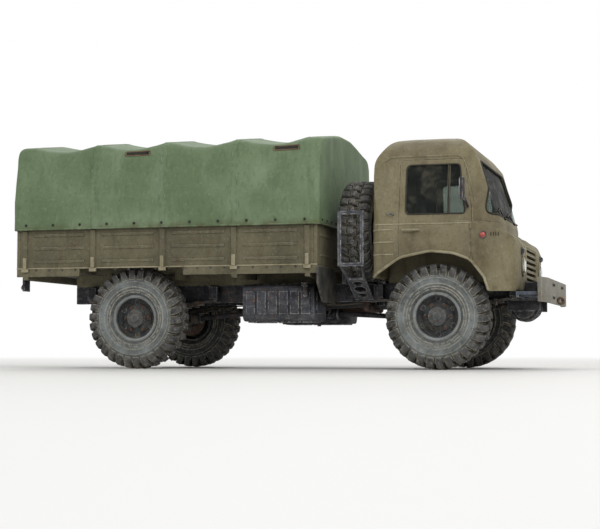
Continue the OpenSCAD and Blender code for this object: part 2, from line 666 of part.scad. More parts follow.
module canvas_bows() color(olive_dark) for (x = post_x) difference() {
  along_x([x - 0.5, x + 0.5]) polygon(canvas_at(0, canvas_t + 0.25, canvas_low));
  along_x([x - 1, x + 1]) polygon(canvas_at(0, canvas_t + 0.25 + bow_in, canvas_low - 9));
  box([x - 2, x + 2], [-60, 60], [0, wall_z[1]]);
}

// cab: one outline seen from the side, the front and above

cab_low_open = concat(cab_low, [[cab_rear_x, 4], [nose_x - 0.6, 4]]);
cab_low_open_r = concat(cab_low_r, [0.2, 0.2]);
low_front = mirrored([[cab_half_w - 1.8, 4], [cab_half_w - 1.8, nose_z - 1.5], [cab_half_w, 37],
  [cab_half_w, belt_z - 2.2], [cab_half_w - 2, belt_z + 2.4]]);
low_front_r = both([0.1, 12, 10, 4, 0.1]);
high_front = mirrored([[cab_half_w - 0.3, 36], [cab_half_w - 0.6, belt_z], [cab_half_w - 4.6, cab_top - 4.8],
  [cab_half_w - 9.5, cab_top - 0.3]]);
high_front_r = both([0.1, 2, 5, 9]);
function plan_line(x) = [[x, -cab_half_w], [x, cab_half_w], [cab_rear_x, cab_half_w],
  [cab_rear_x, -cab_half_w]];
low_plan_r = [6.5, 6.5, 4.5, 4.5];
screen_x = front_x + 18;
screen_r = 18;
high_plan_r = [screen_r, screen_r, 5, 5];
// how far out the cab's side is at x, where it curves in to the windscreen
function pillar_y(x) = cab_half_w - screen_r + sqrt(screen_r * screen_r - pow(x - screen_x + screen_r, 2));
module three_way(d, side, side_r, front, front_r, plan, plan_r) {
  intersection() {
    along_y([-40, 40]) polygon(rounded(inset(side, d), less(side_r, d)));
    along_x([0, 90]) polygon(rounded(inset(front, d), less(front_r, d)));
    along_z([0, 90]) polygon(rounded(inset(plan, d), less(plan_r, d), 8));
  }
}
// the cab's outer form, moved inwards by d and open below
module cab_form(d) {
  three_way(d, cab_low_open, cab_low_open_r, low_front, low_front_r, plan_line(nose_x), low_plan_r);
  three_way(d, cab_high, cab_high_r, high_front, high_front_r, plan_line(screen_x), high_plan_r);
}
module cab_skin() {
  difference() {
    union() {
      three_way(0, concat(cab_low, cab_arch), concat(cab_low_r, cab_arch_r), low_front, low_front_r,
        plan_line(nose_x), low_plan_r);
      three_way(0, cab_high, cab_high_r, high_front, high_front_r, plan_line(screen_x), high_plan_r);
    }
    cab_form(cab_t);
  }
}
nose_split_x = front_x + 10.6;
module nose_zone(g) { box([nose_split_x + g, 100], [-50, 50], [0, belt_z + 0.1 - g]); }

// door outline and its windows in side view
door_line = [[front_x - 10.8, 26], [front_x + 10.4, 26], [front_x + 10.4, belt_z + 4], [front_x + 8.4, 61.6],
  [front_x - 10.8, 61.6]];
door_line_r = [0.2, 0.2, 3, 1.6, 1.6];
window_line = [[front_x - 8.6, belt_z + 2.2], [front_x + 8.4, belt_z + 2.2], [front_x + 6.8, 59.8],
  [front_x - 8.6, 59.8]];
window_r = [1.4, 1, 1.2, 1.4];
vent_x = front_x + 3.8;
module door_zone(g, y) {
  along_y(y) polygon(rounded(inset(door_line, g), less(door_line_r, g)));
}
module side_window(g, y) {
  difference() {
    along_y(y) polygon(rounded(inset(window_line, g), less(window_r, g)));
    box([vent_x - 0.35 - g, vent_x + 0.35 + g], y, [belt_z, 62]);
  }
}
left_y = [cab_half_w - 10, cab_half_w + 18];
module door_left() color(olive) {
  difference() {
    intersection() {
      cab_skin();
      door_zone(door_gap, left_y);
    }
    side_window(0, left_y);
  }
  box([front_x - 9.6, front_x - 5.6], [cab_half_w - 0.3, cab_half_w + 0.5], [belt_z - 3, belt_z - 2.2]);
}
module door_right() { mirror([0, 1, 0]) door_left(); }

screen_line = mirrored([[cab_half_w - 6.6, belt_z + 2.6], [cab_half_w - 9.4, 61.2]]);
rear_line = mirrored([[10, 50], [10, 60]]);
module screen_zone(g) {
  along_x([front_x + 8, 100]) polygon(rounded(inset(screen_line, g), less([2, 2, 2, 2], g)));
}
module rear_window(g) {
  along_x([cab_rear_x - 2, cab_rear_x + 4])
    polygon(rounded(inset(rear_line, g), less([1.5, 1.5, 1.5, 1.5], g)));
}
module cab_shell() color(olive) difference() {
  cab_skin();
  both_sides() door_zone(0, left_y);
  nose_zone(0);
  screen_zone(0);
  rear_window(0);
}
glass_in = 0.3;
glass_t = 0.4;
module cab_glass() color(glass_tint) intersection() {
  difference() {
    cab_form(glass_in);
    cab_form(glass_in + glass_t);
  }
  union() {
    screen_zone(seat_gap);
    rear_window(seat_gap);
    both_sides() side_window(seat_gap, left_y);
  }
}

// nose with grille slots, lamp holes and room for the rails
lamp_y = cab_half_w - 12;
lamp_z = 30.4;
lamp_r = 3;
slot_n = 6;
slot_half_w = lamp_y - lamp_r - 5;
module cab_nose() color(olive) difference() {
  intersection() {
    cab_skin();
    nose_zone(0.1);
  }
  for (i = [0 : slot_n - 1])
    box([nose_x - 3, nose_x + 2], [-slot_half_w, slot_half_w], [26.4 + i * 1.7, 27.3 + i * 1.7]);
  both_sides() {
    disc_x([nose_x - 3, lamp_y, lamp_z], lamp_r, 6);
    box([0, 100], [rail_in - 0.3, rail_out + 0.3], [0, rail_top + 0.3]);
  }
}
module lamps() color(wheel_grey) both_sides() {
  disc_x([nose_x - 1.4, lamp_y, lamp_z], lamp_r - seat_gap, 2.2);
  disc_x([nose_x, cab_half_w - 9.4, 34.6], 0.9, 0.7);
  disc_y([front_x + 14, cab_half_w, 38.8], 0.8, 0.6);
}

// cab floor with the engine cover and the inner panels that stand on the rails
cover_x = [cab_rear_x + cab_t + 4.6, front_x + 14.6];
cover_half_w = 9.6;
cover_top = 44;
module cab_floor() color(olive_dark) {
  intersection() {
    cab_form(cab_t + seat_gap);
    difference() {
      union() {
        box([0, front_x + 18], [-50, 50], [floor_z, floor_z + floor_t]);
        box(cover_x, [-cover_half_w, cover_half_w], [floor_z, cover_top]);
        both_sides() box([0, front_x + 18], [rail_out - 1.4, rail_out - 0.4], [rail_top, floor_z + 0.2]);
      }
      box([cover_x[0] + 0.8, cover_x[1] - 0.8], [-cover_half_w + 0.8, cover_half_w - 0.8],
        [0, cover_top - 0.8]);
    }
  }
}
seat_y = [cover_half_w + 1.4, cab_half_w - 5];
module seats() color(olive_dark) both_sides() {
  box([cab_rear_x + 3.4, cab_rear_x + 16], seat_y, [floor_z + floor_t, floor_z + 6.4]);
  box([cab_rear_x + 2, cab_rear_x + 5], seat_y, [floor_z + 6.4, floor_z + 20]);
}
dash_x = front_x + 12;
wheel_c = [dash_x - 5.4, cab_half_w - 13.6, 47.4];
wheel_tilt = 30;
column_l = (wheel_c[2] - floor_z - floor_t - 0.6 * sin(wheel_tilt) - 0.05) / cos(wheel_tilt);
module dashboard() color(olive_dark) {
  box([dash_x, dash_x + 2.6], [11 - cab_half_w, cab_half_w - 11], [cover_top, belt_z + 3]);
  translate(wheel_c) rotate([0, -wheel_tilt, 0]) {
    rotate_extrude() translate([5.2, 0]) circle(r = 0.45);
    for (a = [0 : 120 : 359]) rotate(a) translate([0, -0.4, -0.3]) cube([5.2, 0.8, 0.6]);
    translate([0, 0, -column_l]) cylinder(r = 0.6, h = column_l);
  }
}

// mirrors on arms from the front of the doors' pillars
mirror_x = front_x + 9.2;
mirror_y = [cab_half_w + 1.6, cab_half_w + 5.4];
mirror_z = [48.8, 55.2];
arm_x = mirror_x + 0.2;
arm_r = 0.4;
arm_seat = 0.35;
module mirrors() color(frame_grey) both_sides() {
  box([mirror_x - 0.9, mirror_x], mirror_y, mirror_z);
  bar([arm_x, pillar_y(arm_x) + arm_seat, belt_z + 4],
    [mirror_x - 0.2, mirror_y[0] + 0.6, mirror_z[0] + 0.8], arm_r);
}

placed() frame_rails();
placed() frame_crossmembers();
placed() front_bumper();
placed() bumper_aprons();
placed() winch();
placed() winch_cable();
placed() front_axle();
placed() rear_axle();
placed() leaf_springs();
placed() spring_brackets();
placed() engine();
placed() radiator();
placed() gearbox();
placed() transfer_case();
placed() propshafts();
placed() exhaust();
placed() fuel_tank_right();
placed() fuel_tank_left();
placed() tank_filler();
placed() air_reservoirs();
placed() heater_canister();
placed() battery_box();
placed() spare_rack();
placed() spare_at() tyre();  // spare_tyre
placed() spare_at() rim();  // spare_rim
placed() mud_flaps();
placed() tow_hitch();
placed() bed_floor();
placed() bed_front_wall();
placed() bed_side_right();
placed() bed_side_left();
placed() tailgate();
placed() canvas_bows();
placed() canvas_cover();
placed() cab_shell();
placed() cab_nose();
placed() cab_floor();
placed() door_right();
placed() door_left();
placed() cab_glass();
placed() seats();
placed() dashboard();
placed() lamps();
placed() mirrors();
placed() knuckle_right();
placed() knuckle_left();
placed() tie_rod();
placed() wheel_at(front_x, -1) tyre();  // tyre_fr
placed() wheel_at(front_x, -1) rim();  // rim_fr
placed() wheel_at(front_x, 1) tyre();  // tyre_fl
placed() wheel_at(front_x, 1) rim();  // rim_fl
placed() wheel_at(rear_x, -1) tyre();  // tyre_rr
placed() wheel_at(rear_x, -1) rim();  // rim_rr
placed() wheel_at(rear_x, 1) tyre();  // tyre_rl
placed() wheel_at(rear_x, 1) rim();  // rim_rl
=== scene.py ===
import bpy
import bmesh
import json
import math
from mathutils import Matrix, Vector, noise
from mathutils.bvhtree import BVHTree


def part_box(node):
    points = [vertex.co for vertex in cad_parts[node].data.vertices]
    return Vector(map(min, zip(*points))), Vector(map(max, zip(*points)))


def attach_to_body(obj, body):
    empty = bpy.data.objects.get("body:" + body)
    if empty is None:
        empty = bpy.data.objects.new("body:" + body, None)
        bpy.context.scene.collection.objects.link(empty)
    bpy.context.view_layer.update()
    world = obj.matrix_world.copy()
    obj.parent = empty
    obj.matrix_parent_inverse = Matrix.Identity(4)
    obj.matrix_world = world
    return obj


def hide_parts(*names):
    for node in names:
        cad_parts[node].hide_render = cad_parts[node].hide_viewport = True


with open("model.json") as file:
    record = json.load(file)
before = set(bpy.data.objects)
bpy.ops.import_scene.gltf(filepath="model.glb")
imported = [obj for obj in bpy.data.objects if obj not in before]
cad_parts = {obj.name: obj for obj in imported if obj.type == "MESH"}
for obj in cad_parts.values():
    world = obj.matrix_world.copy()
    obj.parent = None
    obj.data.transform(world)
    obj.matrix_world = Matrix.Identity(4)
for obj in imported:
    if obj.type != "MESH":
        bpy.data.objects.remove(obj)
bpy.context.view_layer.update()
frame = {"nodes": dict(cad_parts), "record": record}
mm = 0.001
record = frame["record"]
bodyOfNode = {node: body for body, nodes in record["behaviour"]["bodies"].items() for node in nodes}
slotOfNode = {part["node"]: part["material_slot"] for part in record["subparts"]}
print("frame loaded:", len(frame["nodes"]), "nodes")


# colours are written as they look and turned to linear here
def tint(code):
    parts = [int(code[i:i + 2], 16) / 255 for i in (0, 2, 4)]
    return tuple(c / 12.92 if c < 0.04045 else ((c + 0.055) / 1.055) ** 2.4 for c in parts) + (1.0,)


def addNode(tree, kind, inputs=None, **settings):
    node = tree.nodes.new(kind)
    for key, value in settings.items():
        setattr(node, key, value)
    for key, value in (inputs or {}).items():
        if isinstance(value, bpy.types.NodeSocket):
            tree.links.new(value, node.inputs[key])
        else:
            node.inputs[key].default_value = value
    return node


def doMath(tree, operation, first, second=0.0, third=0.0):
    inputs = {0: first, 1: second, 2: third}
    return addNode(tree, "ShaderNodeMath", inputs, operation=operation).outputs[0]


def blendColour(tree, factor, first, second):
    return addNode(tree, "ShaderNodeMix", {0: factor, 6: first, 7: second}, data_type="RGBA").outputs[2]


# one more colour over the last, as far as the mask and the amount let it
def coat(tree, colour, mask, amount, code):
    return blendColour(tree, doMath(tree, "MULTIPLY", mask, amount), colour, tint(code))


def spread(tree, value, low, high):
    inputs = {"Value": value, "From Min": low, "From Max": high}
    return addNode(tree, "ShaderNodeMapRange", inputs, interpolation_type="SMOOTHSTEP").outputs["Result"]


# patches of noise, scale per metre, 0 below low and 1 above high
def patches(tree, place, scale, low, high, stretch=(1, 1, 1), detail=4.0):
    turned = addNode(tree, "ShaderNodeMapping", {"Vector": place, "Scale": stretch}).outputs["Vector"]
    grain = addNode(tree, "ShaderNodeTexNoise", {"Vector": turned, "Scale": scale, "Detail": detail})
    return spread(tree, grain.outputs["Fac"], low, high)


# 1 on sharp edges, where paint rubs off
def edgeWear(tree, radius):
    soft = addNode(tree, "ShaderNodeBevel", {"Radius": radius}, samples=4).outputs["Normal"]
    flat = addNode(tree, "ShaderNodeNewGeometry").outputs["Normal"]
    dot = addNode(tree, "ShaderNodeVectorMath", {0: soft, 1: flat}, operation="DOT_PRODUCT").outputs["Value"]
    return spread(tree, doMath(tree, "SUBTRACT", 1.0, dot), 0.015, 0.16)


# 1 in corners and recesses, from ambient occlusion; darkening by it is painted shade
def recess(tree, depth):
    shade = addNode(tree, "ShaderNodeAmbientOcclusion", {"Distance": depth}, samples=6).outputs["AO"]
    return doMath(tree, "SUBTRACT", 1.0, spread(tree, shade, 0.25, 0.85))


def upward(tree, vector):
    return addNode(tree, "ShaderNodeSeparateXYZ", {"Vector": vector}).outputs["Z"]


def startMaterial(name):
    material = bpy.data.materials.new(name)
    material.use_nodes = True
    tree = material.node_tree
    place = addNode(tree, "ShaderNodeTexCoord").outputs["Object"]
    return material, tree, tree.nodes["Principled BSDF"], place


# the colour goes to the shader, with a fine grain in the surface
def finishPaint(tree, shader, colour, place, specular, scale, detail, strength, depth):
    tree.links.new(colour, shader.inputs["Base Color"])
    shader.inputs["Specular IOR Level"].default_value = specular
    grain = addNode(tree, "ShaderNodeTexNoise", {"Vector": place, "Scale": scale, "Detail": detail})
    inputs = {"Height": grain.outputs["Fac"], "Strength": strength, "Distance": depth}
    bump = addNode(tree, "ShaderNodeBump", inputs).outputs["Normal"]
    tree.links.new(bump, shader.inputs["Normal"])


paintDefaults = {
    "shade": None, "dark": "2a2620", "worn": "a39d88", "wornAmount": 0.7, "wornRadius": 0.35 * mm,
    "rust": "6b4330", "rustAmount": 0.35, "dust": "9a9480", "dustAmount": 0.35, "dustTop": 36 * mm,
    "grime": 0.6, "streak": 0.3, "roughness": 0.82, "bump": 0.25, "under": None, "speck": 0.18,
    "hollow": 2.6 * mm, "mottle": 0.0,
}
# noise for patches(): scale, low, high, stretch, detail
paintNoise = {
    "cloud": (85, 0.36, 0.66), "runs": (420, 0.52, 0.74, (1, 1, 0.16)), "powder": (240, 0.3, 0.68),
    "pools": (520, 0.45, 0.68, (1, 1, 1), 6.0), "brushed": (700, 0.5, 0.75, (0.4, 1, 1), 6.0),
    "rustSpots": (900, 0.55, 0.7), "rustAreas": (150, 0.45, 0.62), "rubbed": (700, 0.38, 0.62),
    "darkSpecks": (1150, 0.52, 0.72), "paleSpecks": (1600, 0.54, 0.74, (1, 1, 0.6)),
}


# matt paint with clouds, streaks, dust low down, rust spots, painted shade in the recesses and rubbed edges
def weatheredPaint(name, base, **changes):
    look = {**paintDefaults, **changes}
    material, tree, shader, place = startMaterial(name)

    def mask(kind):
        return patches(tree, place, *paintNoise[kind])

    cloud = mask("cloud")
    colour = blendColour(tree, cloud, tint(base), tint(look["shade"] or base))
    colour = coat(tree, colour, mask("runs"), look["streak"], look["dark"])
    if look["under"]:  # painted shade: what faces the ground is darker
        outward = addNode(tree, "ShaderNodeNewGeometry").outputs["Normal"]
        below = spread(tree, upward(tree, outward), -0.3, -0.8)
        colour = coat(tree, colour, below, 0.9, look["under"])
    low = spread(tree, upward(tree, place), look["dustTop"], 8 * mm)
    powder = doMath(tree, "MULTIPLY", mask("powder"), doMath(tree, "ADD", low, 0.25))
    colour = coat(tree, colour, powder, look["dustAmount"], look["dust"])
    if look["mottle"]:  # a dark wash that dried in pools, then a pale dry brush
        colour = coat(tree, colour, mask("pools"), look["mottle"], look["dark"])
        colour = coat(tree, colour, mask("brushed"), look["mottle"] * 0.35, look["worn"])
    spots = doMath(tree, "MULTIPLY", mask("rustSpots"), mask("rustAreas"))
    colour = coat(tree, colour, spots, look["rustAmount"], look["rust"])
    colour = coat(tree, colour, mask("darkSpecks"), look["speck"] * 1.4, look["dark"])
    colour = coat(tree, colour, mask("paleSpecks"), look["speck"], look["worn"])
    # painted shade: darker in corners and recesses
    colour = coat(tree, colour, recess(tree, look["hollow"]), look["grime"], look["dark"])
    rubbed = doMath(tree, "MULTIPLY", edgeWear(tree, look["wornRadius"]), mask("rubbed"))
    colour = coat(tree, colour, rubbed, look["wornAmount"], look["worn"])
    gloss = doMath(tree, "MULTIPLY_ADD", cloud, 0.1, look["roughness"] - 0.05)
    tree.links.new(gloss, shader.inputs["Roughness"])
    finishPaint(tree, shader, colour, place, 0.35, 1500.0, 3.0, look["bump"], 0.12 * mm)
    return material


cabPaint = weatheredPaint("cabPaint", "7b7255", shade="6c634a", dark="3a3222", worn="b5ad93", wornAmount=0.85,
                          dust="ada68f", dustTop=34 * mm, dustAmount=0.6, rustAmount=0.3, roughness=0.66)
bedPaint = weatheredPaint("bedPaint", "6b664f", shade="5a5644", dark="2a271d", worn="b3ad98", wornAmount=0.85,
                          dust="9c967f", dustTop=40 * mm, rustAmount=0.3, under="2e2b23", speck=0.16)
innerPaint = weatheredPaint("innerPaint", "77705a", shade="685f4b", dark="2b271e", worn="a09880",
                            dustAmount=0.25)
chassisLook = {"wornRadius": 0.54 * mm, "wornAmount": 1.0, "hollow": 6.5 * mm, "grime": 1.0, "speck": 0.15,
               "mottle": 0.38}
framePaint = weatheredPaint("framePaint", "383a43", shade="282930", dark="070606", worn="b9b9b8",
                            rust="6a4430", rustAmount=0.9, dust="7c7466", dustAmount=0.2, **chassisLook)
rackPaint = weatheredPaint("rackPaint", "5f6168", shade="44454c", dark="0d0c0c", worn="cdcdca", rust="6a4430",
                           rustAmount=0.5, dust="8b877c", dustAmount=0.2, **chassisLook)
axlePaint = weatheredPaint("axlePaint", "4e4b4b", shade="3a3838", dark="0a0807", worn="c2bdb2", rust="7a4a30",
                           rustAmount=1.0, dust="857d6f", dustAmount=0.25, **chassisLook)
tankPaint = weatheredPaint("tankPaint", "474b54", shade="393b44", dark="0c0908", worn="cfcecb",
                           rustAmount=0.95, dust="837d71", dustAmount=0.15, **chassisLook)
enginePaint = weatheredPaint("enginePaint", "413c38", shade="302c2a", dark="080706", worn="a8a096",
                             rust="74482f", rustAmount=0.9, dust="6f6558", dustAmount=0.18, **chassisLook)
springPaint = weatheredPaint("springPaint", "403e3d", shade="302f30", dark="090808", worn="b0a89d",
                             rust="74482f", rustAmount=1.0, dust="776e60", dustAmount=0.25, **chassisLook)
rustPaint = weatheredPaint("rustPaint", "6b574d", shade="53433b", dark="251b17", worn="a39488", rust="75482f",
                           rustAmount=0.8, dust="857b6e", dustAmount=0.25, roughness=0.88, bump=0.6,
                           speck=0.25, mottle=0.45)
bumperPaint = weatheredPaint("bumperPaint", "8d8a80", shade="7e7b72", dark="3f3832", worn="c2bfb5",
                             rust="6b4632", rustAmount=0.6, dustAmount=0.2, grime=0.5, streak=0.1)
apronPaint = weatheredPaint("apronPaint", "4f5866", shade="414a58", dark="171a1e", worn="a9acad",
                            wornAmount=0.95, wornRadius=0.4 * mm, rust="5d4030", rustAmount=0.45,
                            dustAmount=0.2, speck=0.15)
wheelPaint = weatheredPaint("wheelPaint", "4b4f51", shade="3b3f42", dark="111010", worn="a9adad",
                            rust="7a4a30", rustAmount=0.95, dust="8c8778", dustAmount=0.2, grime=0.92,
                            hollow=4 * mm)
lipPaint = weatheredPaint("lipPaint", "8b9090", shade="747979", dark="2c2b2a", worn="c0c3c1", rust="6f4a38",
                          rustAmount=0.5, dustAmount=0.2)
hubRust = weatheredPaint("hubRust", "5f483b", shade="483730", dark="1d1512", worn="8f8276", wornAmount=0.3,
                         rust="80492c", rustAmount=1.0, dustAmount=0.15, speck=0.3)
studPaint = weatheredPaint("studPaint", "414144", shade="333235", dark="131212", worn="8b877e",
                           wornAmount=0.35, rust="6e452e", rustAmount=0.9, dustAmount=0.2)
flapRubber = weatheredPaint("flapRubber", "323231", shade="282828", dark="101010", worn="8c8980",
                            wornAmount=0.9, rustAmount=0.1, dust="827c6c", dustAmount=0.5)
palePaint = weatheredPaint("palePaint", "9b9378", shade="857d62", dark="4a4330", worn="c0b99f", dust="b3ab92",
                           dustAmount=0.6, dustTop=44 * mm, rustAmount=0.5, wornAmount=0.9)
sealRubber = weatheredPaint("sealRubber", "2f2e2a", shade="262522", dark="12110f", worn="5a574d",
                            wornAmount=0.3, rustAmount=0.0, dustAmount=0.25)
slitBrown = weatheredPaint("slitBrown", "76604a", shade="5f4c3c", dark="33261d", worn="8d7a64",
                           rustAmount=0.3, dustAmount=0.2)


# glass, metal and lamp plastic: one colour under a patchy film of dirt
def filmed(name, code, film, amount, grain, sockets, haze=0.0, clear=None):
    material, tree, shader, place = startMaterial(name)
    mask = patches(tree, place, *grain)
    tree.links.new(coat(tree, tint(code), mask, amount, film), shader.inputs["Base Color"])
    for label, value in sockets.items():
        shader.inputs[label].default_value = value
    if haze:
        rough = doMath(tree, "MULTIPLY_ADD", mask, haze, sockets["Roughness"])
        tree.links.new(rough, shader.inputs["Roughness"])
    if clear:  # a tinted pane to look through, less so under the dirt
        through = addNode(tree, "ShaderNodeBsdfTransparent", {"Color": tint(clear)}).outputs["BSDF"]
        cover = doMath(tree, "MULTIPLY_ADD", mask, 0.1, 0.08)
        both = addNode(tree, "ShaderNodeMixShader", {0: cover, 1: through, 2: shader.outputs["BSDF"]})
        tree.links.new(both.outputs["Shader"], tree.nodes["Material Output"].inputs["Surface"])
    return material


def lampPlastic(name, code):  # solid, so that it keeps its colour at this size
    return filmed(name, code, "7a5a48", 0.4, (700, 0.4, 0.7), {"Roughness": 0.2, "Coat Weight": 0.6})


def bareMetal(name, code, rough):
    return filmed(name, code, "4a453d", 0.5, (300, 0.35, 0.65), {"Roughness": rough, "Metallic": 0.9}, 0.15)


redLens = lampPlastic("redLens", "b5301f")
orangeLens = lampPlastic("orangeLens", "c9691f")
clearGlass = filmed("clearGlass", "4b5254", "8d8673", 1.0, (300, 0.42, 0.72),
                    {"Roughness": 0.08, "Specular IOR Level": 0.8}, clear="ccd2ce")
lensGlass = filmed("lensGlass", "dfe2dc", "8b8570", 0.35, (160, 0.4, 0.7),
                   {"Roughness": 0.04, "Transmission Weight": 1.0, "IOR": 1.3}, 0.12)
bowlMetal = bareMetal("bowlMetal", "c9c9c4", 0.22)
wireMetal = bareMetal("wireMetal", "6f665b", 0.45)
cableMetal = bareMetal("cableMetal", "7a6858", 0.48)
print("paints mixed")

crease = 38  # degrees; a sharper fold stays crisp


def spotAt(x, y, z):
    return Vector((x, y, z)) * mm


def finishMesh(obj, angle):
    obj.data.shade_smooth()
    obj.data.set_sharp_from_angle(angle=math.radians(angle))
    return obj


def addObject(name, data):
    obj = bpy.data.objects.new(name, data)
    bpy.context.scene.collection.objects.link(obj)
    return obj


def newPiece(name, bm, material, angle=crease):
    mesh = bpy.data.meshes.new(name)
    bm.to_mesh(mesh)
    bm.free()
    mesh.materials.append(material)
    return finishMesh(addObject(name, mesh), angle)


# what the modifiers give becomes the piece's plain mesh
def bake(obj, angle=crease):
    graph = bpy.context.evaluated_depsgraph_get()
    mesh = bpy.data.meshes.new_from_object(obj.evaluated_get(graph))
    obj.modifiers.clear()
    obj.data = mesh
    return finishMesh(obj, angle)


# edges rounded by so many mm, where the faces meet at more than the corner's angle
def softened(obj, edge, corner=30, angle=crease):
    soft = obj.modifiers.new("softEdges", "BEVEL")
    soft.width = edge * mm
    soft.segments = 2
    soft.limit_method = "ANGLE"
    soft.angle_limit = math.radians(corner)
    return bake(obj, angle)


def attach(obj, body, slot, *nodes):
    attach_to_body(obj, body)
    if nodes:
        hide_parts(*nodes)
    return obj


def fitAll(bits, slot, stage):
    for bit in bits:
        attach(bit, "chassis", slot)
    print(stage + ":", len(bits), "pieces")


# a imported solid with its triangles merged, its edges softened and its own paint
def dress(node, material, edge):
    bm = bmesh.new()
    bm.from_mesh(frame["nodes"][node].data)
    bmesh.ops.remove_doubles(bm, verts=bm.verts, dist=0.002 * mm)
    bmesh.ops.dissolve_limit(bm, angle_limit=math.radians(0.4), verts=bm.verts, edges=bm.edges)
    obj = newPiece("dressed_" + node, bm, material)
    if edge:
        softened(obj, edge, 40)
    return attach(obj, bodyOfNode[node], slotOfNode[node], node)


dressTable = [  # paint, rounding in mm, nodes
    (rackPaint, 0.15, ["spare_rack"]),
    (cabPaint, 0.18, ["cab_nose", "door_right", "door_left", "cab_shell"]),
    (innerPaint, 0.2, ["cab_floor", "seats", "dashboard", "canvas_bows"]),
    (bedPaint, 0.15, ["bed_front_wall", "bed_side_right", "bed_side_left", "tailgate", "bed_floor"]),
    (framePaint, 0.12, ["frame_rails", "frame_crossmembers", "spring_brackets", "gearbox", "transfer_case",
                        "propshafts", "tow_hitch", "heater_canister", "radiator", "tank_filler", "winch",
                        "battery_box", "air_reservoirs"]),
    (framePaint, 0.4, ["mirrors"]),
    (axlePaint, 0.12, ["front_axle", "rear_axle", "knuckle_right", "knuckle_left", "tie_rod"]),
    (tankPaint, 0.3, ["fuel_tank_right", "fuel_tank_left"]),
    (enginePaint, 0.2, ["engine"]),
    (springPaint, 0.06, ["leaf_springs"]),
    (rustPaint, 0.0, ["exhaust"]),
    (cableMetal, 0.0, ["winch_cable"]),
    (bumperPaint, 0.15, ["front_bumper"]),
    (apronPaint, 0.1, ["bumper_aprons"]),
    (flapRubber, 0.0, ["mud_flaps"]),
    (clearGlass, 0.0, ["cab_glass"]),
]
for material, edge, nodes in dressTable:
    for node in nodes:
        dress(node, material, edge)
print("solids dressed")


# node trees for what repeats
def startTree(name, inputs):
    group = bpy.data.node_groups.new(name, "GeometryNodeTree")
    sockets = group.interface
    sockets.new_socket(name="Geometry", in_out="INPUT", socket_type="NodeSocketGeometry")
    ids = {}
    for label, kind in inputs + [("Material", "Material")]:
        socket = sockets.new_socket(name=label, in_out="INPUT", socket_type="NodeSocket" + kind)
        ids[label] = socket.identifier
    sockets.new_socket(name="Geometry", in_out="OUTPUT", socket_type="NodeSocketGeometry")
    return group, group.nodes.new("NodeGroupInput").outputs, ids


def endTree(group, source, geometry):
    real = addNode(group, "GeometryNodeRealizeInstances", {"Geometry": geometry}).outputs["Geometry"]
    painted = addNode(group, "GeometryNodeSetMaterial", {"Geometry": real, "Material": source["Material"]})
    group.links.new(painted.outputs["Geometry"], group.nodes.new("NodeGroupOutput").inputs["Geometry"])


# copies of the piece's mesh turned round the Y axis
def makeSpinTree():
    group, source, ids = startTree("spinCopies", [("Count", "Int"), ("Start", "Float")])
    points = addNode(group, "GeometryNodeMeshLine", {"Count": source["Count"], "Offset": (0, 0, 0)})
    index = addNode(group, "GeometryNodeInputIndex").outputs["Index"]
    step = doMath(group, "DIVIDE", math.tau, source["Count"])
    angle = doMath(group, "MULTIPLY_ADD", index, step, source["Start"])
    turned = addNode(group, "ShaderNodeCombineXYZ", {"Y": angle}).outputs["Vector"]
    inputs = {"Points": points.outputs["Mesh"], "Instance": source["Geometry"], "Rotation": turned}
    copies = addNode(group, "GeometryNodeInstanceOnPoints", inputs)
    endTree(group, source, copies.outputs["Instances"])
    return group, ids


# copies of the piece's mesh in a straight row
def makeRowTree():
    group, source, ids = startTree("rowCopies", [("Count", "Int"), ("Step", "Vector")])
    points = addNode(group, "GeometryNodeMeshLine", {"Count": source["Count"], "Offset": source["Step"]})
    inputs = {"Points": points.outputs["Mesh"], "Instance": source["Geometry"]}
    copies = addNode(group, "GeometryNodeInstanceOnPoints", inputs)
    endTree(group, source, copies.outputs["Instances"])
    return group, ids


# a round bar along the piece's edges
def makeBarTree():
    group, source, ids = startTree("roundBars", [("Radius", "Float"), ("Sides", "Int")])
    path = addNode(group, "GeometryNodeMeshToCurve", {"Mesh": source["Geometry"]}).outputs["Curve"]
    ring = addNode(group, "GeometryNodeCurvePrimitiveCircle",
                   {"Resolution": source["Sides"], "Radius": source["Radius"]}).outputs["Curve"]
    bar = addNode(group, "GeometryNodeCurveToMesh", {"Curve": path, "Profile Curve": ring, "Fill Caps": True})
    endTree(group, source, bar.outputs["Mesh"])
    return group, ids


# a six-sided bolt head on a washer at each point, along the point's facing
def makeBoltTree():
    group, source, ids = startTree("boltHeads", [("Radius", "Float")])
    radius = source["Radius"]
    tall, rise, wide, thin = [doMath(group, "MULTIPLY", radius, share) for share in (0.9, 0.6, 1.5, 0.5)]
    head = addNode(group, "GeometryNodeMeshCylinder", {"Vertices": 6, "Radius": radius, "Depth": tall})
    raised = addNode(group, "ShaderNodeCombineXYZ", {"Z": rise}).outputs["Vector"]
    inputs = {"Geometry": head.outputs["Mesh"], "Translation": raised}
    lifted = addNode(group, "GeometryNodeTransform", inputs)
    disc = addNode(group, "GeometryNodeMeshCylinder", {"Vertices": 10, "Radius": wide, "Depth": thin})
    both = group.nodes.new("GeometryNodeJoinGeometry")
    group.links.new(disc.outputs["Mesh"], both.inputs[0])
    group.links.new(lifted.outputs["Geometry"], both.inputs[0])
    facing = addNode(group, "GeometryNodeInputNamedAttribute", {"Name": "facing"}, data_type="FLOAT_VECTOR")
    aim = {"Vector": facing.outputs["Attribute"]}
    turned = addNode(group, "FunctionNodeAlignRotationToVector", aim, axis="Z").outputs["Rotation"]
    inputs = {"Points": source["Geometry"], "Instance": both.outputs[0], "Rotation": turned}
    copies = addNode(group, "GeometryNodeInstanceOnPoints", inputs)
    endTree(group, source, copies.outputs["Instances"])
    return group, ids


spinTree, rowTree, barTree, boltTree = makeSpinTree(), makeRowTree(), makeBarTree(), makeBoltTree()


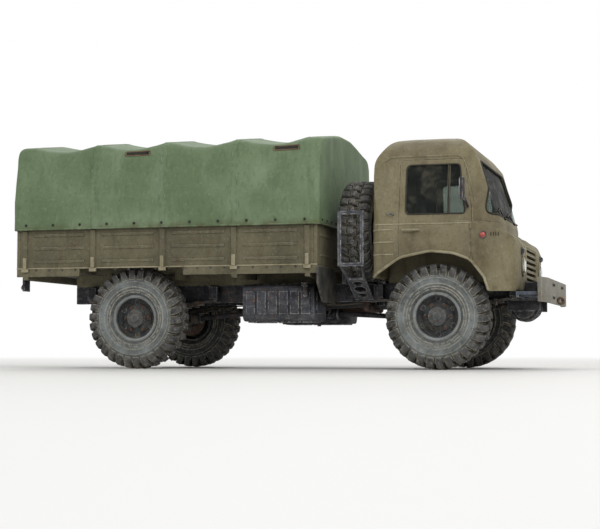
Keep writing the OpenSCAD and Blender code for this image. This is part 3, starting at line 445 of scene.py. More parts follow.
def grow(obj, tree, material, angle=crease, **sizes):
    group, ids = tree
    grown = obj.modifiers.new("grown", "NODES")
    grown.node_group = group
    for label, value in {**sizes, "Material": material}.items():
        grown[ids[label]] = value
    return bake(obj, angle)


# round bars along paths; the radius in mm
def wirePiece(name, paths, radius, material, sides=8, closed=False):
    bm = bmesh.new()
    for path in paths:
        points = [bm.verts.new(p) for p in path]
        pairs = list(zip(points, points[1:])) + ([(points[-1], points[0])] if closed else [])
        for pair in pairs:
            bm.edges.new(pair)
    return grow(newPiece(name, bm, material), barTree, material, Radius=radius * mm, Sides=sides)


# bolt heads at places, each a point and a facing; the radius in mm
def boltPiece(name, places, radius, material):
    mesh = bpy.data.meshes.new(name)
    mesh.from_pydata([p for p, facing in places], [], [])
    aim = mesh.attributes.new("facing", "FLOAT_VECTOR", "POINT")
    aim.data.foreach_set("vector", [c for p, facing in places for c in Vector(facing)])
    return grow(addObject(name, mesh), boltTree, material, Radius=radius * mm)


# several meshes as one piece, each with its own paint
def joinPieces(name, pieces, angle=crease):
    bm = bmesh.new()
    paints = []
    for piece in pieces:
        first = len(bm.faces)
        bm.from_mesh(piece.data)
        paint = [m for m in piece.data.materials if m][0]
        if paint not in paints:
            paints.append(paint)
        bm.faces.ensure_lookup_table()
        for face in bm.faces[first:]:
            face.material_index = paints.index(paint)
        bpy.data.objects.remove(piece)
    obj = newPiece(name, bm, paints[0], angle)
    for paint in paints[1:]:
        obj.data.materials.append(paint)
    return obj


# cosine and sine of evenly spaced angles
def ringOf(count):
    return [(math.cos(math.tau * k / count), math.sin(math.tau * k / count)) for k in range(count)]


# a closed outline turned round the Y axis; points are (radius, y) in mm
def lathe(outline, steps):
    bm = bmesh.new()
    rings = [[bm.verts.new((r * mm * c, y * mm, r * mm * s)) for r, y in outline] for c, s in ringOf(steps)]
    count = len(outline)
    for k in range(steps):
        here, there = rings[k], rings[(k + 1) % steps]
        for j in range(count):
            n = (j + 1) % count
            bm.faces.new((here[j], here[n], there[n], there[j]))
    bmesh.ops.remove_doubles(bm, verts=bm.verts, dist=0.001 * mm)
    bmesh.ops.recalc_face_normals(bm, faces=bm.faces)
    return bm


# points along an outline, its corners rounded
def roundOff(points, radii, steps=6, closed=False):
    out = []
    count = len(points)
    for i, (p, r) in enumerate(zip(points, radii)):
        if r <= 0 or (not closed and i in (0, count - 1)):
            out.append(Vector(p))
            continue
        b = Vector(p)
        u = (Vector(points[i - 1]) - b).normalized()
        v = (Vector(points[(i + 1) % count]) - b).normalized()
        half = math.acos(max(-1, min(1, u.dot(v)))) / 2
        reach = r / math.tan(half)
        for k in range(steps + 1):
            t = k / steps
            out.append((b + u * reach) * (1 - t) ** 2 + b * 2 * t * (1 - t) + (b + v * reach) * t ** 2)
    return out


def evenly(points, count):
    lengths = [0.0]
    for a, b in zip(points, points[1:]):
        lengths.append(lengths[-1] + (b - a).length)
    out = []
    k = 0
    for i in range(count):
        want = lengths[-1] * i / (count - 1)
        while k < len(points) - 2 and lengths[k + 1] < want:
            k += 1
        share = (want - lengths[k]) / max(lengths[k + 1] - lengths[k], 1e-12)
        out.append(points[k].lerp(points[k + 1], share))
    return out


# tyres: a smooth carcass with two rows of shoulder bars and two of middle blocks, in mm
tyreLook = {
    "lugs": 30, "barWidth": 1.85, "blockWidth": 1.75, "skew": 0.75, "steps": 104, "edge": 0.22, "angle": 50,
    "wall": [(6.95, 3.0), (7.15, 3.5), (7.7, 3.95), (7.95, 4.22), (8.2, 4.1), (8.45, 4.34), (8.7, 4.36),
             (8.85, 4.2), (9.25, 4.42), (9.4, 4.56), (9.6, 4.58), (9.7, 4.44), (10.3, 4.52), (10.9, 4.54),
             (11.05, 4.68), (11.3, 4.7), (11.45, 4.52), (11.8, 4.4), (12.1, 4.2), (12.8, 3.9), (13.4, 3.4),
             (13.8, 2.6), (13.95, 1.4)],
    "bar": [(1.75, 13.6), (1.75, 15.35), (3.2, 15.3), (4.2, 14.75), (4.72, 13.5), (4.72, 12.2), (3.9, 11.9),
            (3.0, 13.0)],
    "block": [(-0.35, 13.6), (-0.35, 15.46), (1.35, 15.44), (1.35, 13.6)],
    "radius": 15.5, "innerRadius": 12, "innerY": -2.5,  # the inner side is painted darker
}


def tyrePaintNodes():
    material, tree, shader, place = startMaterial("tyreRubber")
    reach = addNode(tree, "ShaderNodeAttribute", attribute_name="reach").outputs["Fac"]
    inner = addNode(tree, "ShaderNodeAttribute", attribute_name="inner").outputs["Fac"]
    tread = blendColour(tree, patches(tree, place, 260, 0.36, 0.66), tint("585857"), tint("3d3d3e"))
    side = blendColour(tree, patches(tree, place, 190, 0.35, 0.65), tint("7f8585"), tint("666a69"))
    side = coat(tree, side, spread(tree, reach, 0.62, 0.5), 0.7, "4b4e4f")
    colour = blendColour(tree, spread(tree, reach, 0.82, 0.76), tread, side)
    colour = coat(tree, colour, patches(tree, place, 640, 0.5, 0.7), 0.4, "2a2928")
    colour = coat(tree, colour, patches(tree, place, 560, 0.5, 0.75), 0.25, "a8a392")
    colour = coat(tree, colour, inner, 0.75, "312f2d")
    # the hollows: painted shade, then pale dust in some of them
    hollow = recess(tree, 1.5 * mm)
    powder = doMath(tree, "MULTIPLY", hollow, patches(tree, place, 500, 0.2, 0.6))
    colour = coat(tree, colour, hollow, 0.88, "1d1b19")
    colour = coat(tree, colour, powder, 0.4, "a39c86")
    rubbed = doMath(tree, "MULTIPLY", edgeWear(tree, 0.42 * mm), patches(tree, place, 800, 0.3, 0.55))
    colour = coat(tree, colour, rubbed, 0.9, "c6c1b1")
    colour = coat(tree, colour, patches(tree, place, 1300, 0.52, 0.74), 0.3, "b3afa2")
    shader.inputs["Roughness"].default_value = 0.88
    finishPaint(tree, shader, colour, place, 0.25, 1700.0, 3.0, 0.3, 0.12 * mm)
    return material


tyreRubber = tyrePaintNodes()


# one lug from its outline across the tread, leaning back by the skew
def lugMesh(name, outline, width, skew):
    bm = bmesh.new()
    ends = []
    for side in (-0.5, 0.5):
        ends.append([bm.verts.new(spotAt(r, y, side * width + skew * (y / 3 - 0.5))) for y, r in outline])
    count = len(outline)
    bm.faces.new(ends[0])
    bm.faces.new(ends[1][::-1])
    for j in range(count):
        n = (j + 1) % count
        bm.faces.new((ends[0][n], ends[0][j], ends[1][j], ends[1][n]))
    bmesh.ops.recalc_face_normals(bm, faces=bm.faces)
    return softened(newPiece(name, bm, tyreRubber), tyreLook["edge"], 35, tyreLook["angle"])


def makeTyre(name):
    look = tyreLook
    outline = look["wall"] + [(r, -y) for r, y in reversed(look["wall"])]
    parts = [newPiece(name + "_carcass", lathe(outline, look["steps"]), tyreRubber)]
    pitch = math.tau / look["lugs"]
    for side in (1, -1):
        for kind, lean, start in (("bar", look["skew"], 0.0), ("block", -look["skew"], 0.5)):
            outline = [(y * side, r) for y, r in look[kind]]
            lug = lugMesh(name + kind, outline, look[kind + "Width"], lean * side)
            shift = start * pitch + (0.5 * pitch if side < 0 else 0.0)
            parts.append(grow(lug, spinTree, tyreRubber, look["angle"], Count=look["lugs"], Start=shift))
    tyre = joinPieces(name, parts, look["angle"])
    reach = tyre.data.attributes.new("reach", "FLOAT", "POINT")
    inner = tyre.data.attributes.new("inner", "FLOAT", "POINT")
    for i, vertex in enumerate(tyre.data.vertices):
        radius = math.hypot(vertex.co.x, vertex.co.z)
        reach.data[i].value = radius / (look["radius"] * mm)
        # the inner side, painted darker
        innerSide = vertex.co.y < look["innerY"] * mm and radius < look["innerRadius"] * mm
        inner.data[i].value = 1.0 if innerSide else 0.0
    return tyre


# rims: a deep dish with hand holes, wheel nuts, hub flange and cap, in mm
rimLook = {
    "face": [(6.75, -3.3), (6.75, 2.7), (7.1, 3.15), (7.1, 3.5), (6.75, 3.6), (6.4, 3.45), (6.3, 3.1),
             (6.1, 2.9), (6.05, 1.5), (5.6, 1.0), (4.9, 0.95), (4.3, 1.35), (3.2, 1.45), (2.9, 1.5),
             (2.75, 2.0), (2.3, 2.2), (2.2, 2.8), (2.62, 2.9), (2.62, 3.3), (2.5, 3.4), (1.25, 3.45),
             (1.1, 3.8), (0.0, 3.85)],
    "lip": [(6.86, 3.1), (7.14, 3.2), (7.14, 3.54), (6.78, 3.68), (6.36, 3.5), (6.28, 3.16), (6.5, 3.2)],
    "back": [(0.0, -2.9), (4.3, -2.9), (4.3, 0.2), (5.3, 0.4), (5.75, 0.9), (6.1, 0.6), (6.1, -3.3)],
    "bolts": [("nuts", 6, 3.75, 0.42, 1.45), ("bolts", 8, 1.95, 0.2, 3.42)],  # count, ring, radius, y
    "holes": 6, "holeRadius": 0.62, "holeAt": (5.15, 0.93), "steps": 72, "angle": 32,
    "holeEdge": [(0, 0.3), (0.1, 0.34), (0.2, 0.3), (0.2, 0), (0, 0)],
}


def makeRim(name):
    look = rimLook
    parts = []
    dish = look["face"] + look["back"]
    for label, outline, paint in (("_dish", dish, wheelPaint), ("_lip", look["lip"], lipPaint)):
        parts.append(newPiece(name + label, lathe(outline, look["steps"]), paint, look["angle"]))
    for label, count, ring, radius, y in look["bolts"]:
        places = [(spotAt(ring * c, y, ring * s), (0, 1, 0)) for c, s in ringOf(count)]
        parts.append(boltPiece(name + label, places, radius, hubRust))
    wide = look["holeRadius"]
    edge = [(wide + dr, dy) for dr, dy in look["holeEdge"]]
    floor = [(0, 0.12), (wide, 0.12), (wide, 0), (0, 0)]
    for label, outline, paint in (("rings", edge, wheelPaint), ("holes", floor, flapRubber)):
        source = lathe(outline, 16)
        out, y = look["holeAt"]
        place = Matrix.Rotation(math.pi / 6, 4, "Y") @ Matrix.Translation(spotAt(out, y, 0))
        bmesh.ops.transform(source, matrix=place, verts=source.verts)
        one = newPiece(name + label, source, paint)
        parts.append(grow(one, spinTree, paint, Count=look["holes"], Start=0.0))
    return joinPieces(name, parts, look["angle"])


def middle(node):
    low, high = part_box(node)
    return (low + high) / 2


# the outside faces away from the middle; the spare lies across the frame
wheelTable = [("tyre_fr", "rim_fr", math.pi), ("tyre_fl", "rim_fl", 0.0), ("tyre_rr", "rim_rr", math.pi),
              ("tyre_rl", "rim_rl", 0.0), ("spare_tyre", "spare_rim", -math.pi / 2)]
for tyreNode, rimNode, turn in wheelTable:
    for node, maker in ((tyreNode, makeTyre), (rimNode, makeRim)):
        piece = maker(node + "_look")
        piece.data.transform(Matrix.Rotation(turn, 4, "Z"))
        piece.data.transform(Matrix.Translation(middle(tyreNode)))
        attach(piece, bodyOfNode[node], slotOfNode[node], node)
print("wheels made")


# canvas: one skin over five hoops, hanging in between, with puckers at the hem
canvasLook = {
    "sideTop": 52 * mm, "shoulderIn": 2.4 * mm, "shoulderDown": 3.6 * mm, "sag": 1.7 * mm, "roofFlat": 7 * mm,
    "radii": [0, 8 * mm, 4.2 * mm, 30 * mm], "endRadius": 1.6 * mm, "thickness": 0.4 * mm, "pointsRound": 132,
    "stationStep": 0.75 * mm, "pucker": 0.45 * mm, "noise": 0.22 * mm, "hoops": 5, "angle": 60,
    "shrink": [0.97, 0.9, 0.8, 0.68, 0.55, 0.42, 0.3, 0.18, 0.08, 0.0],  # rings that close an end
}


def canvasPaintNodes():
    material, tree, shader, place = startMaterial("canvasGreen")
    colour = blendColour(tree, patches(tree, place, 60, 0.36, 0.64), tint("6d8060"), tint("5e7251"))
    colour = coat(tree, colour, patches(tree, place, 130, 0.5, 0.72, (1, 1, 0.5)), 0.42, "84977a")
    colour = coat(tree, colour, patches(tree, place, 300, 0.54, 0.76, (1, 1, 0.2)), 0.4, "465a3d")
    colour = coat(tree, colour, patches(tree, place, 900, 0.5, 0.74, (1, 1, 0.5)), 0.3, "3f5237")
    colour = coat(tree, colour, patches(tree, place, 1000, 0.5, 0.78), 0.16, "a3b095")
    low = spread(tree, upward(tree, place), 45.5 * mm, 43 * mm)
    hem = doMath(tree, "MULTIPLY", low, patches(tree, place, 260, 0.3, 0.65))
    colour = coat(tree, colour, hem, 0.6, "56502f")
    # painted shade in the folds and corners
    colour = coat(tree, colour, recess(tree, 3 * mm), 0.45, "34452f")
    rubbed = doMath(tree, "MULTIPLY", edgeWear(tree, 0.4 * mm), patches(tree, place, 500, 0.4, 0.65))
    colour = coat(tree, colour, rubbed, 0.55, "a8b699")
    shader.inputs["Roughness"].default_value = 0.66
    finishPaint(tree, shader, colour, place, 0.4, 2200.0, 2.0, 0.25, 0.1 * mm)
    return material


canvasGreen = canvasPaintNodes()
canvasLow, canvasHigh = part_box("canvas_cover")
bowLow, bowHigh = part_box("canvas_bows")
hoopGaps = canvasLook["hoops"] - 1
hoopX = [bowLow.x + 0.5 * mm + k * (bowHigh.x - bowLow.x - 1 * mm) / hoopGaps for k in range(hoopGaps + 1)]


def sagAt(x):
    for a, b in zip(hoopX, hoopX[1:]):
        if a <= x <= b:
            return math.sin(math.pi * (x - a) / (b - a)) ** 1.2
    return 0.1


def canvasSection(sag):
    look = canvasLook
    wide, low, top = canvasHigh.y, canvasLow.z, canvasHigh.z
    drop = sag * look["sag"]
    half = [(wide, low), (wide, look["sideTop"]),
            (wide - look["shoulderIn"] - drop * 0.8, top - look["shoulderDown"] - drop),
            (look["roofFlat"], top - drop)]
    points = half + [(-y, z) for y, z in reversed(half)]
    radii = look["radii"] + look["radii"][::-1]
    return evenly(roundOff(points, radii, 8), look["pointsRound"])


# how far the cloth stands out: folds beside each hoop near the hem, and soft waves all over
def puckerAt(x, y, z):
    up = z - canvasLow.z
    near = min(hoopX, key=lambda h: abs(h - x))
    d = (x - near) / mm
    side = 1 if abs(y) > 24 * mm else 0.35
    wave = math.sin(d * 1.7 + up / mm * 0.35 * (1 if d > 0 else -1))
    folds = math.exp(-(d / 4.5) ** 2) * math.exp(-up / (9 * mm)) * wave
    broad = noise.noise(Vector((x, y * 0.6, z * 0.45)) * 180) * 0.8
    fine = noise.noise(Vector((x, y, z)) * 420) * 0.3
    return side * (canvasLook["pucker"] * max(folds, -0.3) + canvasLook["noise"] * (broad + fine))


def makeCanvas():
    look = canvasLook
    x0, x1, r = canvasLow.x, canvasHigh.x, look["endRadius"]
    inner = int((x1 - x0 - 2 * r) / look["stationStep"])
    stations = [(x0 + r + (x1 - x0 - 2 * r) * k / inner, 1.0, 0.0) for k in range(inner + 1)]
    corner = [(math.sin(a * math.pi / 12), 1 - math.cos(a * math.pi / 12)) for a in range(1, 7)]
    front = [(x1 - r + r * s, 1.0, c) for s, c in corner] + [(x1, f, 1.0) for f in look["shrink"]]
    rear = [(x0 + r - r * s, 1.0, c) for s, c in corner] + [(x0, f, 1.0) for f in look["shrink"]]
    bm = bmesh.new()
    rings = []
    for x, scale, inset in rear[::-1] + stations + front:
        ring = []
        forward = 1 if x > 0 else -1
        for p in canvasSection(sagAt(x)):
            z = canvasLow.z + (p.y - canvasLow.z) * scale
            pull = inset * r * 0.6
            y = p.x * scale
            y -= math.copysign(min(pull, abs(y)), y) if scale > 0 else 0
            z -= pull * max(0.0, (p.y - canvasLow.z) / (canvasHigh.z - canvasLow.z)) * scale
            out = Vector((0, p.x, max(0.0, p.y - look["sideTop"]))).normalized()
            push = puckerAt(x, p.x, p.y) * (1 - inset)
            if p.y < canvasLow.z + 5 * mm:
                push = max(push, -0.1 * mm)
            dent = abs(noise.noise(Vector((x, y, z)) * 200) * 0.25 * mm * inset)
            ring.append(bm.verts.new((x - dent * forward, y + out.y * push, z + out.z * push)))
        rings.append(ring)
    for a, b in zip(rings, rings[1:]):
        for j in range(len(a) - 1):
            bm.faces.new((a[j], b[j], b[j + 1], a[j + 1]))
    bmesh.ops.remove_doubles(bm, verts=bm.verts, dist=0.01 * mm)
    bmesh.ops.recalc_face_normals(bm, faces=bm.faces)
    obj = newPiece("canvas_skin", bm, canvasGreen, look["angle"])
    wall = obj.modifiers.new("thickness", "SOLIDIFY")
    wall.thickness = look["thickness"]
    wall.offset = -1
    return bake(obj, look["angle"])


canvasSkin = attach(makeCanvas(), "chassis", "canvas_green", "canvas_cover")
print("canvas made:", len(canvasSkin.data.polygons), "faces")


# places on a skin, found by looking at it from one side
def skinOf(*nodes):
    bm = bmesh.new()
    for node in nodes:
        bm.from_mesh(frame["nodes"][node].data)
    tree = BVHTree.FromBMesh(bm)
    bm.free()
    return tree


def onSkin(tree, start, direction, lift=0.0):
    spot, normal, index, distance = tree.ray_cast(Vector(start), Vector(direction))
    if spot is None:
        return None, None
    if normal.dot(Vector(direction)) > 0:
        normal = -normal
    return spot + normal * lift * mm, normal


besideTruck, pastEnds, aboveRoof, aboveHood = 0.06, 0.12, 0.09, 0.06  # where a look starts


def fromSide(tree, x, z, side, lift=0.0):
    return onSkin(tree, (x, side * besideTruck, z), (0, -side, 0), lift)


def fromEnd(tree, y, z, end, lift=0.0):
    return onSkin(tree, (end * pastEnds, y, z), (-end, 0, 0), lift)


def found(hits):
    return [(spot, normal) for spot, normal in hits if spot]


def spots(hits):
    return [spot for spot, normal in found(hits)]


def closeUp(points, step):
    out = []
    for a, b in zip(points, points[1:]):
        count = max(1, int((b - a).length / step))
        out += [a.lerp(b, k / count) for k in range(count)]
    return out + [points[-1]]


# a flat line through corners in mm, with points close together
def smoothFlat(points, radii, closed=False, step=0.7 * mm):
    line = roundOff([(x * mm, z * mm) for x, z in points], [r * mm for r in radii], 6, closed)
    if closed:
        line = line + [line[0]]
    return closeUp(line, step)


# cab trim, in mm along X from the front axle and up from the ground
frontX = middle("tyre_fr").x
cabSkin = skinOf("cab_shell", "cab_nose", "door_right", "door_left")
glassSkin = skinOf("cab_glass")
cabLook = {
    "arch": [(-18.8, 27.2), (-10.4, 32.8), (-1.5, 34.5), (5.2, 33.8), (10.2, 31.9), (14.1, 26.8),
             (15.3, 23.0)],
    "archRadii": [0, 8, 8, 8, 4, 3, 0], "archLip": 0.42, "windowRadii": [1.5, 1.1, 1.3, 1.5],
    "window": [(-8.75, 45.25), (8.6, 45.25), (6.95, 59.95), (-8.75, 59.95)],
    "post": [(3.8, 45.3), (3.8, 59.9)], "crease": [(-17.6, 42.4), (10.2, 42.4)],
    "ribHeights": [33.6, 37.2, 40.8], "rib": (-18.7, -12.2), "catch": (-12.4, 45.2),
    "gutter": [(-15.5, 61.2), (-13.5, 62.6), (7.6, 62.6), (9.6, 57.0), (11.3, 48.6)],
    "gutterRadii": [0, 2, 3, 4, 0], "vents": [16.4, 17.1, 17.8, 18.5], "ventHeight": (38.4, 39.5),
    "hinges": [31.0, 40.6], "hingeAt": 10.5, "hingeSteps": (0, 0.9, 1.8), "gripUp": 40.55,
    "grip": [(-9.4, 0.0), (-9.1, 0.7), (-8.2, 1.0), (-6.4, 0.95), (-4.9, 0.7), (-4.5, 0.0)],
    "screen": [(-25.6, 45.6), (25.6, 45.6), (22.8, 61.4), (-22.8, 61.4)], "screenRadius": 2.2,
    "grille": [(-12.8, 25.6), (12.8, 25.6), (12.8, 36.6), (-12.8, 36.6)], "grilleRadius": 0.8,
    "wipers": (-9.0, 11.0), "wiperFoot": 44.8, "roofRibs": (-14, -7, 0, 7, 14), "hoodRibs": (-8, 8),
    "blade": [(-8.5, 46.6), (-6.0, 47.2), (-3.5, 47.7), (-1.0, 48.2), (1.5, 48.6)],
}


# points, or a smooth line, on the side of the cab
def cabPoints(points, side, lift=0.0):
    return spots(fromSide(cabSkin, frontX + x * mm, z * mm, side, lift) for x, z in points)


def cabLine(corners, radii, side, lift=0.0, closed=False):
    flat = smoothFlat(corners, radii, closed)
    return spots(fromSide(cabSkin, frontX + p.x, p.y, side, lift) for p in flat)


def cabTop(x, y, above, lift):
    return onSkin(cabSkin, (frontX + x * mm, y * mm, above), (0, 0, -1), lift)


# a closed line on the front of the cab
def frontLoop(corners, radius):
    flat = smoothFlat(corners, [radius] * 4, True)[:-1]
    return spots(fromEnd(cabSkin, p.x, p.y, 1) for p in flat)


cabBits = []
for side, tag in ((-1, "_right"), (1, "_left")):
    look = cabLook
    lip = cabLine(look["arch"], look["archRadii"], side, -0.1)
    cabBits.append(wirePiece("archLip" + tag, [lip], look["archLip"], palePaint))
    frameLine = cabLine(look["window"], look["windowRadii"], side, closed=True)[:-1]
    cabBits.append(wirePiece("windowSeal" + tag, [frameLine], 0.24, sealRubber, closed=True))
    cabBits.append(wirePiece("ventPost" + tag, [cabPoints(look["post"], side)], 0.26, sealRubber))
    lines = [cabLine(look["crease"], [0, 0], side)]
    for z in look["ribHeights"]:
        lines.append(cabLine([(x, z) for x in look["rib"]], [0, 0], side))
    # the crease and ribs are pale paint: a painted highlight along each ridge
    cabBits.append(wirePiece("pressedLines" + tag, lines, 0.23, palePaint))
    gutter = cabLine(look["gutter"], look["gutterRadii"], side)
    cabBits.append(wirePiece("rainGutter" + tag, [gutter], 0.26, cabPaint))
    # the vent slits are dark wires on the skin: painted shade in the slits
    slits = [cabPoints([(x, z) for z in look["ventHeight"]], side) for x in look["vents"]]
    cabBits.append(wirePiece("sideSlits" + tag, slits, 0.14, sealRubber, 6))
    hinges = []
    for z in look["hinges"]:
        hinges.append(cabPoints([(look["hingeAt"], z + dz) for dz in look["hingeSteps"]], side, 0.1))
    cabBits.append(wirePiece("doorHinges" + tag, hinges, 0.34, cabPaint, 10))
    grip = []
    for x, out in look["grip"]:
        grip.append(fromSide(cabSkin, frontX + x * mm, look["gripUp"] * mm, side, out)[0])
    cabBits.append(wirePiece("doorGrip" + tag, [grip], 0.3, palePaint, 10))
    x, z = look["catch"]
    lock, normal = fromSide(cabSkin, frontX + x * mm, z * mm, side)
    hook = [lock, lock + normal * 0.8 * mm, lock + normal * 0.9 * mm + spotAt(-1.4, 0, 0.2),
            lock + spotAt(-1.8, 0, 0.3)]
    cabBits.append(wirePiece("rearCatch" + tag, [hook], 0.24, framePaint))

screenLine = frontLoop(cabLook["screen"], cabLook["screenRadius"])
cabBits.append(wirePiece("screenSeal", [screenLine], 0.3, sealRubber, closed=True))
wiperLines = []
for y in cabLook["wipers"]:
    foot = fromEnd(cabSkin, y * mm, cabLook["wiperFoot"] * mm, 1, 0.3)[0]
    blade = spots(fromEnd(glassSkin, (y + dy) * mm, z * mm, 1, 0.25) for dy, z in cabLook["blade"])
    wiperLines += [[foot, blade[2]], blade]
cabBits.append(wirePiece("wipers", wiperLines, 0.24, sealRubber))
roofRibs = [spots(cabTop(x, y, aboveRoof, -0.05) for x in range(-14, 6)) for y in cabLook["roofRibs"]]
cabBits.append(wirePiece("roofRibs", roofRibs, 0.28, cabPaint, 10))
noseRibs = [spots(cabTop(x * 0.5, y, aboveHood, -0.04) for x in range(38, 46)) for y in cabLook["hoodRibs"]]
cabBits.append(wirePiece("hoodRibs", noseRibs, 0.22, cabPaint, 10))
grilleLine = frontLoop(cabLook["grille"], cabLook["grilleRadius"])
cabBits.append(wirePiece("grilleEdge", [grilleLine], 0.3, palePaint, closed=True))
fitAll(cabBits, "cab_paint", "cab trimmed")


# several bevelled boxes as one piece; corners in mm
def blockPiece(name, boxes, material, edge=0.12):
    bm = bmesh.new()
    for low, high in boxes:
        size = [b - a for a, b in zip(low, high)]
        centre = [(a + b) / 2 * mm for a, b in zip(low, high)]
        place = Matrix.Translation(centre) @ Matrix.Diagonal([v * mm for v in size] + [1])
        bmesh.ops.create_cube(bm, size=1, matrix=place)
    return softened(newPiece(name, bm, material), edge)


def mirrorBoxes(boxes):
    return boxes + [((a[0], -b[1], a[2]), (b[0], -a[1], b[2])) for a, b in boxes]


def inMm(points):
    return [Vector(p) * mm for p in points]


# an outline in mm turned round an axis that faces so, at a spot
def turnedPiece(name, outline, steps, paint, spot, facing):
    bm = lathe(outline, steps)
    turn = Vector((0, 1, 0)).rotation_difference(Vector(facing)).to_matrix().to_4x4()
    bmesh.ops.transform(bm, matrix=Matrix.Translation(spot) @ turn, verts=bm.verts)
    return newPiece(name, bm, paint, 40)


# lamps: a bowl, a lens and a rim in front, small markers beside them and on the flanks
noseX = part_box("cab_nose")[1].x
lampLook = {
    "y": 20, "z": 30.4, "bowl": [(0, -1.2), (2.3, -0.9), (2.75, 0.2), (2.75, 0.35), (2.2, -0.5), (0, -0.8)],
    "lens": [(0, 1.05), (1.2, 0.95), (2.1, 0.65), (2.72, 0.25), (2.72, 0.1), (2.0, 0.45), (0, 0.8)],
    "rim": [(2.7, -1.2), (3.2, -1.2), (3.3, 0.1), (3.15, 0.45), (2.85, 0.5), (2.65, 0.3)],
    "marker": [(0, 0.95), (0.5, 0.85), (0.82, 0.5), (0.85, 0.0), (0, 0.0)],
    "markerRim": [(0.8, 0.0), (1.1, 0.0), (1.1, 0.25), (0.95, 0.32), (0.8, 0.25)],
    "markerY": 22.6, "markerZ": 34.6, "flankX": 14, "flankZ": 38.8, "mirrorY": 35.5,
}
lampParts, mirrorFaces = [], []
for side in (-1, 1):
    spot = Vector((noseX, side * lampLook["y"] * mm, lampLook["z"] * mm))
    for part, paint in (("bowl", bowlMetal), ("lens", lensGlass), ("rim", cabPaint)):
        lampParts.append(turnedPiece("head_" + part, lampLook[part], 40, paint, spot, (1, 0, 0)))
    small = Vector((noseX + 0.1 * mm, side * lampLook["markerY"] * mm, lampLook["markerZ"] * mm))
    flank, normal = fromSide(cabSkin, frontX + lampLook["flankX"] * mm, lampLook["flankZ"] * mm, side)
    for where, facing, paint in ((small, (1, 0, 0), lensGlass), (flank, normal, redLens)):
        lampParts.append(turnedPiece("marker_lens", lampLook["marker"], 20, paint, where, facing))
        lampParts.append(turnedPiece("marker_rim", lampLook["markerRim"], 20, wheelPaint, where, facing))
    y = side * lampLook["mirrorY"]
    mirrorFaces.append(((57.8, y - 1.6, 49.1), (58.0, y + 1.6, 54.9)))
attach(joinPieces("lamp_set", lampParts), "chassis", "lamp_clear", "lamps")
attach(blockPiece("mirrorFaces", mirrorFaces, bowlMetal, 0.08), "chassis", "lamp_clear")
print("lamps made")


# canvas: hem cord, eyelets, seams over the hoops, slit windows and a laced rear flap
canvasShape = BVHTree.FromPolygons([v.co for v in canvasSkin.data.vertices],
                                   [p.vertices for p in canvasSkin.data.polygons])
canvasTrim = {
    "eyelets": 11, "endEyelets": 12, "eyeletUp": 1.5, "eyeletRadius": 0.3, "hemUp": 0.25, "hem": 0.24,
    "seam": 0.13, "slits": [(4.5, 66.4), (-43.5, 66.4)], "slitLength": 8.6, "slitHeight": 1.3,
    "slitLines": (-0.3, 0.0, 0.3), "flapY": (-11, 11), "laces": 15,
    "laceLow": 45.6, "laceStep": 1.4, "laceOut": 0.9,
}
proud = 0.02  # mm above the cloth
hemZ, eyeletZ = canvasLow.z + canvasTrim["hemUp"] * mm, canvasLow.z + canvasTrim["eyeletUp"] * mm
spanX = canvasHigh.x - canvasLow.x
canvasBits = []
eyeletPlaces, hemLines = [], []
for side in (-1, 1):
    hemX = [canvasLow.x + spanX * (0.012 + 0.976 * k / 120) for k in range(121)]
    hemLines.append(spots(fromSide(canvasShape, x, hemZ, side, proud) for x in hemX))
    for k in range(canvasTrim["eyelets"]):
        x = canvasLow.x + spanX * (k + 0.5) / canvasTrim["eyelets"]
        eyeletPlaces.append(fromSide(canvasShape, x, eyeletZ, side, proud))
for end in (-1, 1):
    hemY = [canvasHigh.y * (-0.95 + 1.9 * k / 60) for k in range(61)]
    hemLines.append(spots(fromEnd(canvasShape, y, hemZ, end, proud) for y in hemY))
canvasBits.append(wirePiece("canvasHem", hemLines, canvasTrim["hem"], canvasGreen))
canvasBits.append(boltPiece("canvasEyelets", eyeletPlaces, canvasTrim["eyeletRadius"], sealRubber))
seams = []
for x in hoopX[1:-1]:
    for shift in (-0.8, 0.8):
        hits = []
        for p in canvasSection(0.0)[::2]:
            outward = Vector((0, p.x, max(p.y - canvasLook["sideTop"], 0))).normalized()
            start = Vector((x + shift * mm, p.x, p.y)) + outward * 12 * mm
            hits.append(onSkin(canvasShape, start, -outward))
        seams.append(spots(hits))
canvasBits.append(wirePiece("canvasSeams", seams, canvasTrim["seam"], canvasGreen, 6))
slitRims, slitFills = [], []
long, tall = canvasTrim["slitLength"] / 2, canvasTrim["slitHeight"] / 2
for side in (-1, 1):
    for cx, cz in canvasTrim["slits"]:
        corners = [(cx + long * h, cz + tall * v) for h, v in ((-1, -1), (1, -1), (1, 1), (-1, 1))]
        outline = smoothFlat(corners, [tall * 0.95] * 4, True, 0.4 * mm)
        slitRims.append(spots(fromSide(canvasShape, p.x, p.y, side, 0.04) for p in outline))
        for dz in canvasTrim["slitLines"]:
            ends = [Vector((x * mm, (cz + dz) * mm)) for x in (cx - long + 0.5, cx + long - 0.5)]
            slitFills.append(spots(fromSide(canvasShape, p.x, p.y, side) for p in closeUp(ends, 0.6 * mm)))
canvasBits.append(wirePiece("slitRims", slitRims, 0.2, slitBrown))
canvasBits.append(wirePiece("slitMesh", slitFills, 0.16, sealRubber, 6))
rear = []
for y in canvasTrim["flapY"]:
    rear.append(spots(fromEnd(canvasShape, y * mm, z * mm, -1, proud) for z in range(44, 70)))
canvasBits.append(wirePiece("rearFlapSeams", rear, 0.2, canvasGreen))
laces, laceEyes = [], []
for y in canvasTrim["flapY"]:
    line = []
    for k in range(canvasTrim["laces"]):
        across = y + (canvasTrim["laceOut"] if k % 2 else -canvasTrim["laceOut"])
        line.append((across * mm, (canvasTrim["laceLow"] + canvasTrim["laceStep"] * k) * mm))
    eyes = found(fromEnd(canvasShape, across, z, -1) for across, z in line)
    laces.append([spot + normal * 0.14 * mm for spot, normal in eyes])
    laceEyes += eyes
last = canvasTrim["endEyelets"] - 1
